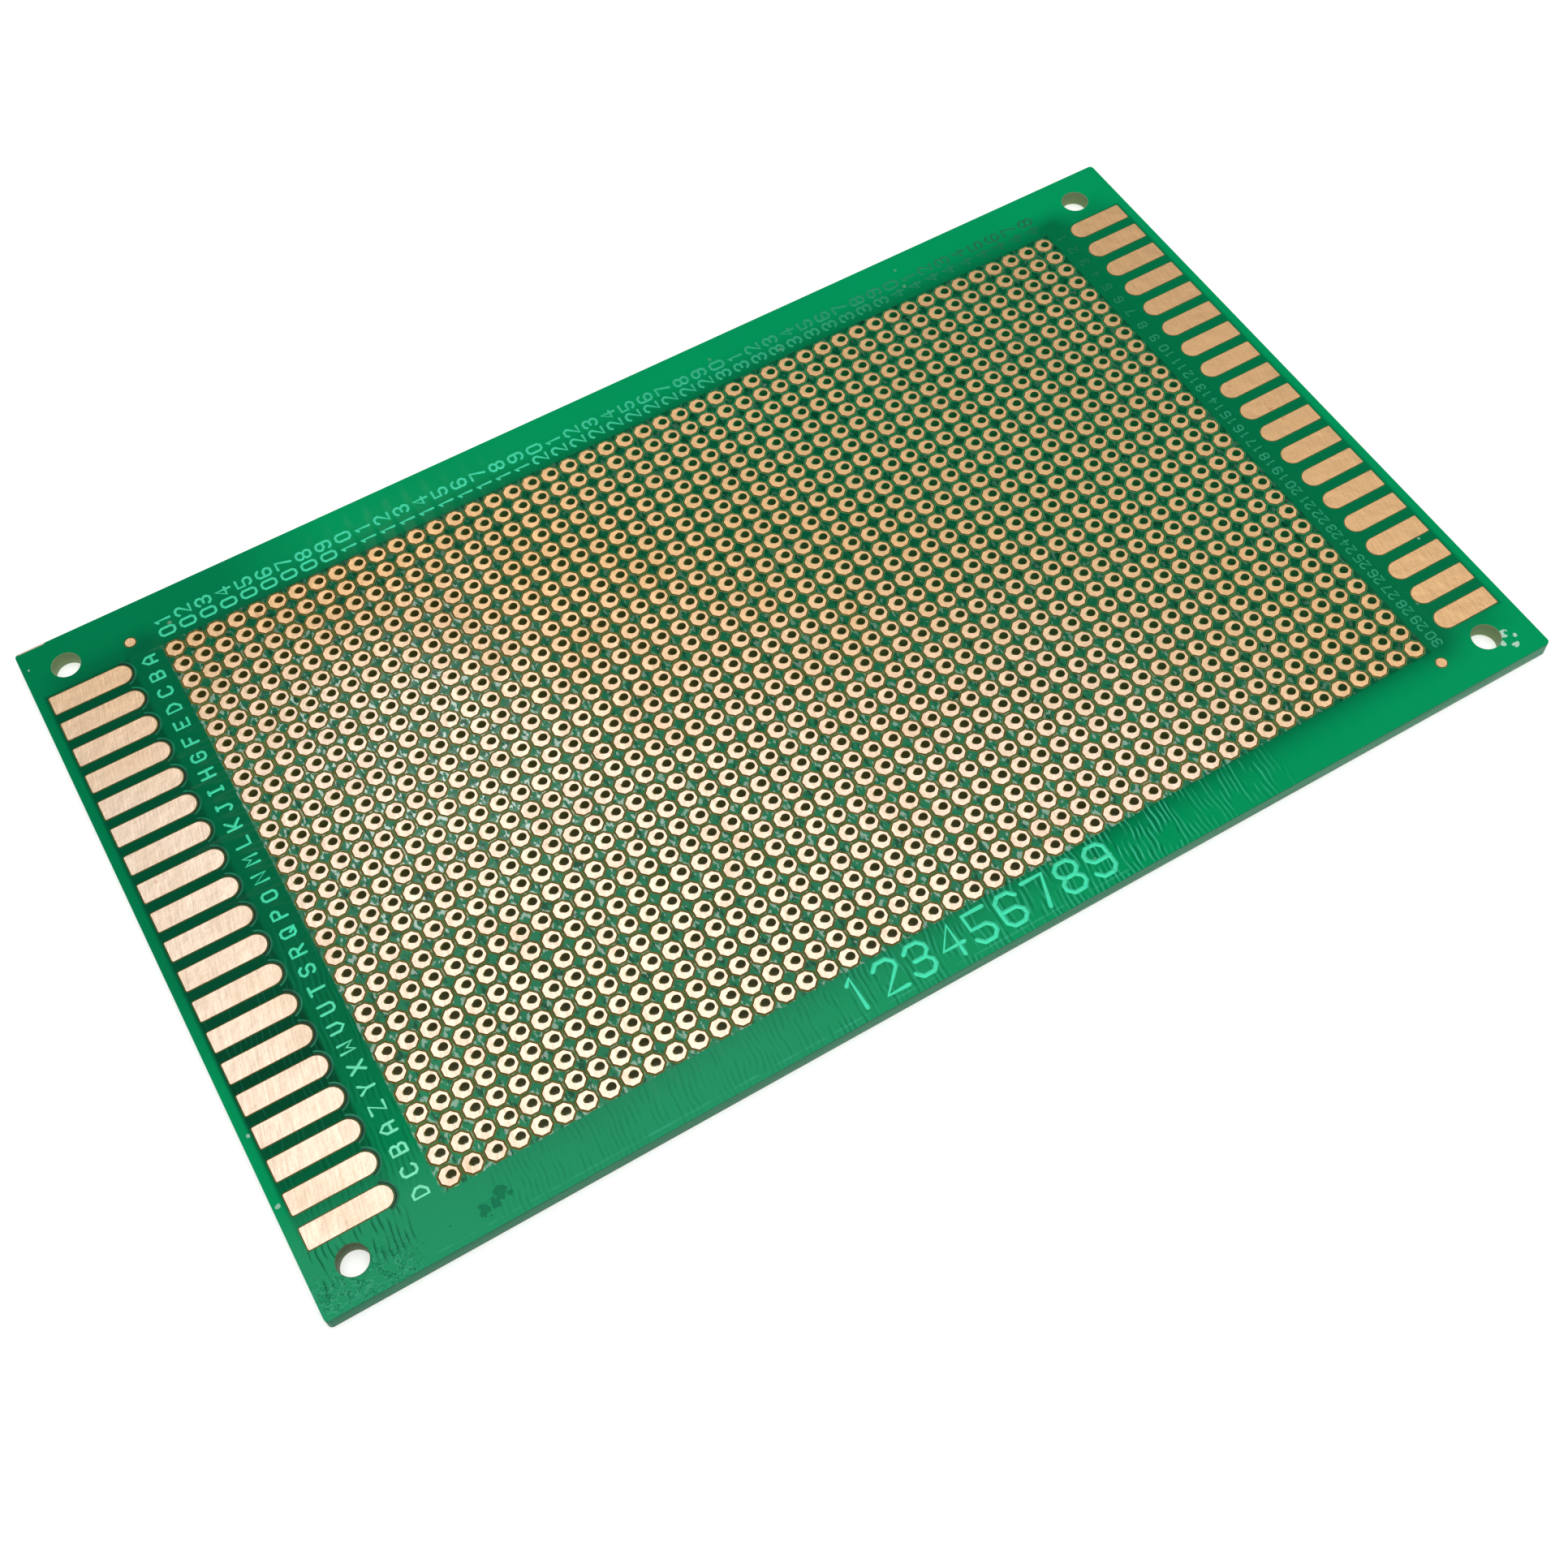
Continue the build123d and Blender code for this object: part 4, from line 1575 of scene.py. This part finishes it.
def add_softbox(name, place, wide, high, brightness):
    """An area light that looks at the board, as bright all over as a lit white wall times brightness."""
    bpy.ops.object.select_all(action="DESELECT")
    bpy.ops.object.light_add(type="AREA", location=place)
    light = bpy.context.object
    light.name = name
    light.data.shape = "RECTANGLE"
    light.data.size = wide
    light.data.size_y = high
    light.data.energy = brightness * math.pi * wide * high
    light.rotation_euler = (-Vector(place)).to_track_quat("-Z", "Y").to_euler()


def add_camera(scene):
    """The photograph's viewing angle: from the near left, 59 degrees above the board."""
    bpy.ops.object.select_all(action="DESELECT")
    place = (-58.53 * MM, -117.23 * MM, 191.25 * MM)
    angles = [math.radians(angle) for angle in (30.826, 2.086, -30.184)]
    bpy.ops.object.camera_add(location=place, rotation=angles)
    camera = bpy.context.object
    camera.data.lens = 46.59
    camera.data.sensor_width = 36.0
    camera.data.clip_start = 0.01
    scene.camera = camera


class CircuitBoardPanel(bpy.types.Panel):
    """Lists the pieces of the board and their settings"""

    bl_idname = "VIEW3D_PT_circuit_board"
    bl_label = "Circuit Board"
    bl_space_type = "VIEW_3D"
    bl_region_type = "UI"
    bl_category = "Circuit Board"

    def draw(self, context):
        layout = self.layout
        for settings in (context.scene.board_sizes, context.scene.board_colours):
            for name in settings.__annotations__:
                layout.prop(settings, name)
        for operator in OPERATORS:
            layout.operator(operator.bl_idname)


OPERATORS = (
    BuildLaminate,
    BuildMask,
    BuildPads,
    BuildFingers,
    BuildDots,
    BuildColumnNumbers,
    BuildRowLetters,
    BuildRowNumbers,
    BuildSizeNumbers,
    BuildStage,
)
CLASSES = (BoardSizes, BoardColours, *OPERATORS, CircuitBoardPanel)


def register():
    for kind in CLASSES:
        bpy.utils.register_class(kind)
    bpy.types.Scene.board_sizes = PointerProperty(type=BoardSizes)
    bpy.types.Scene.board_colours = PointerProperty(type=BoardColours)


def unregister():
    del bpy.types.Scene.board_sizes
    del bpy.types.Scene.board_colours
    for kind in reversed(CLASSES):
        bpy.utils.unregister_class(kind)


def main():
    register()
    bpy.ops.board.laminate()
    bpy.ops.board.mask()
    bpy.ops.board.pads()
    bpy.ops.board.fingers()
    bpy.ops.board.dots()
    bpy.ops.board.column_numbers()
    bpy.ops.board.row_letters()
    bpy.ops.board.row_numbers()
    bpy.ops.board.size_numbers()
    bpy.ops.board.stage()


if __name__ == "__main__":
    main()
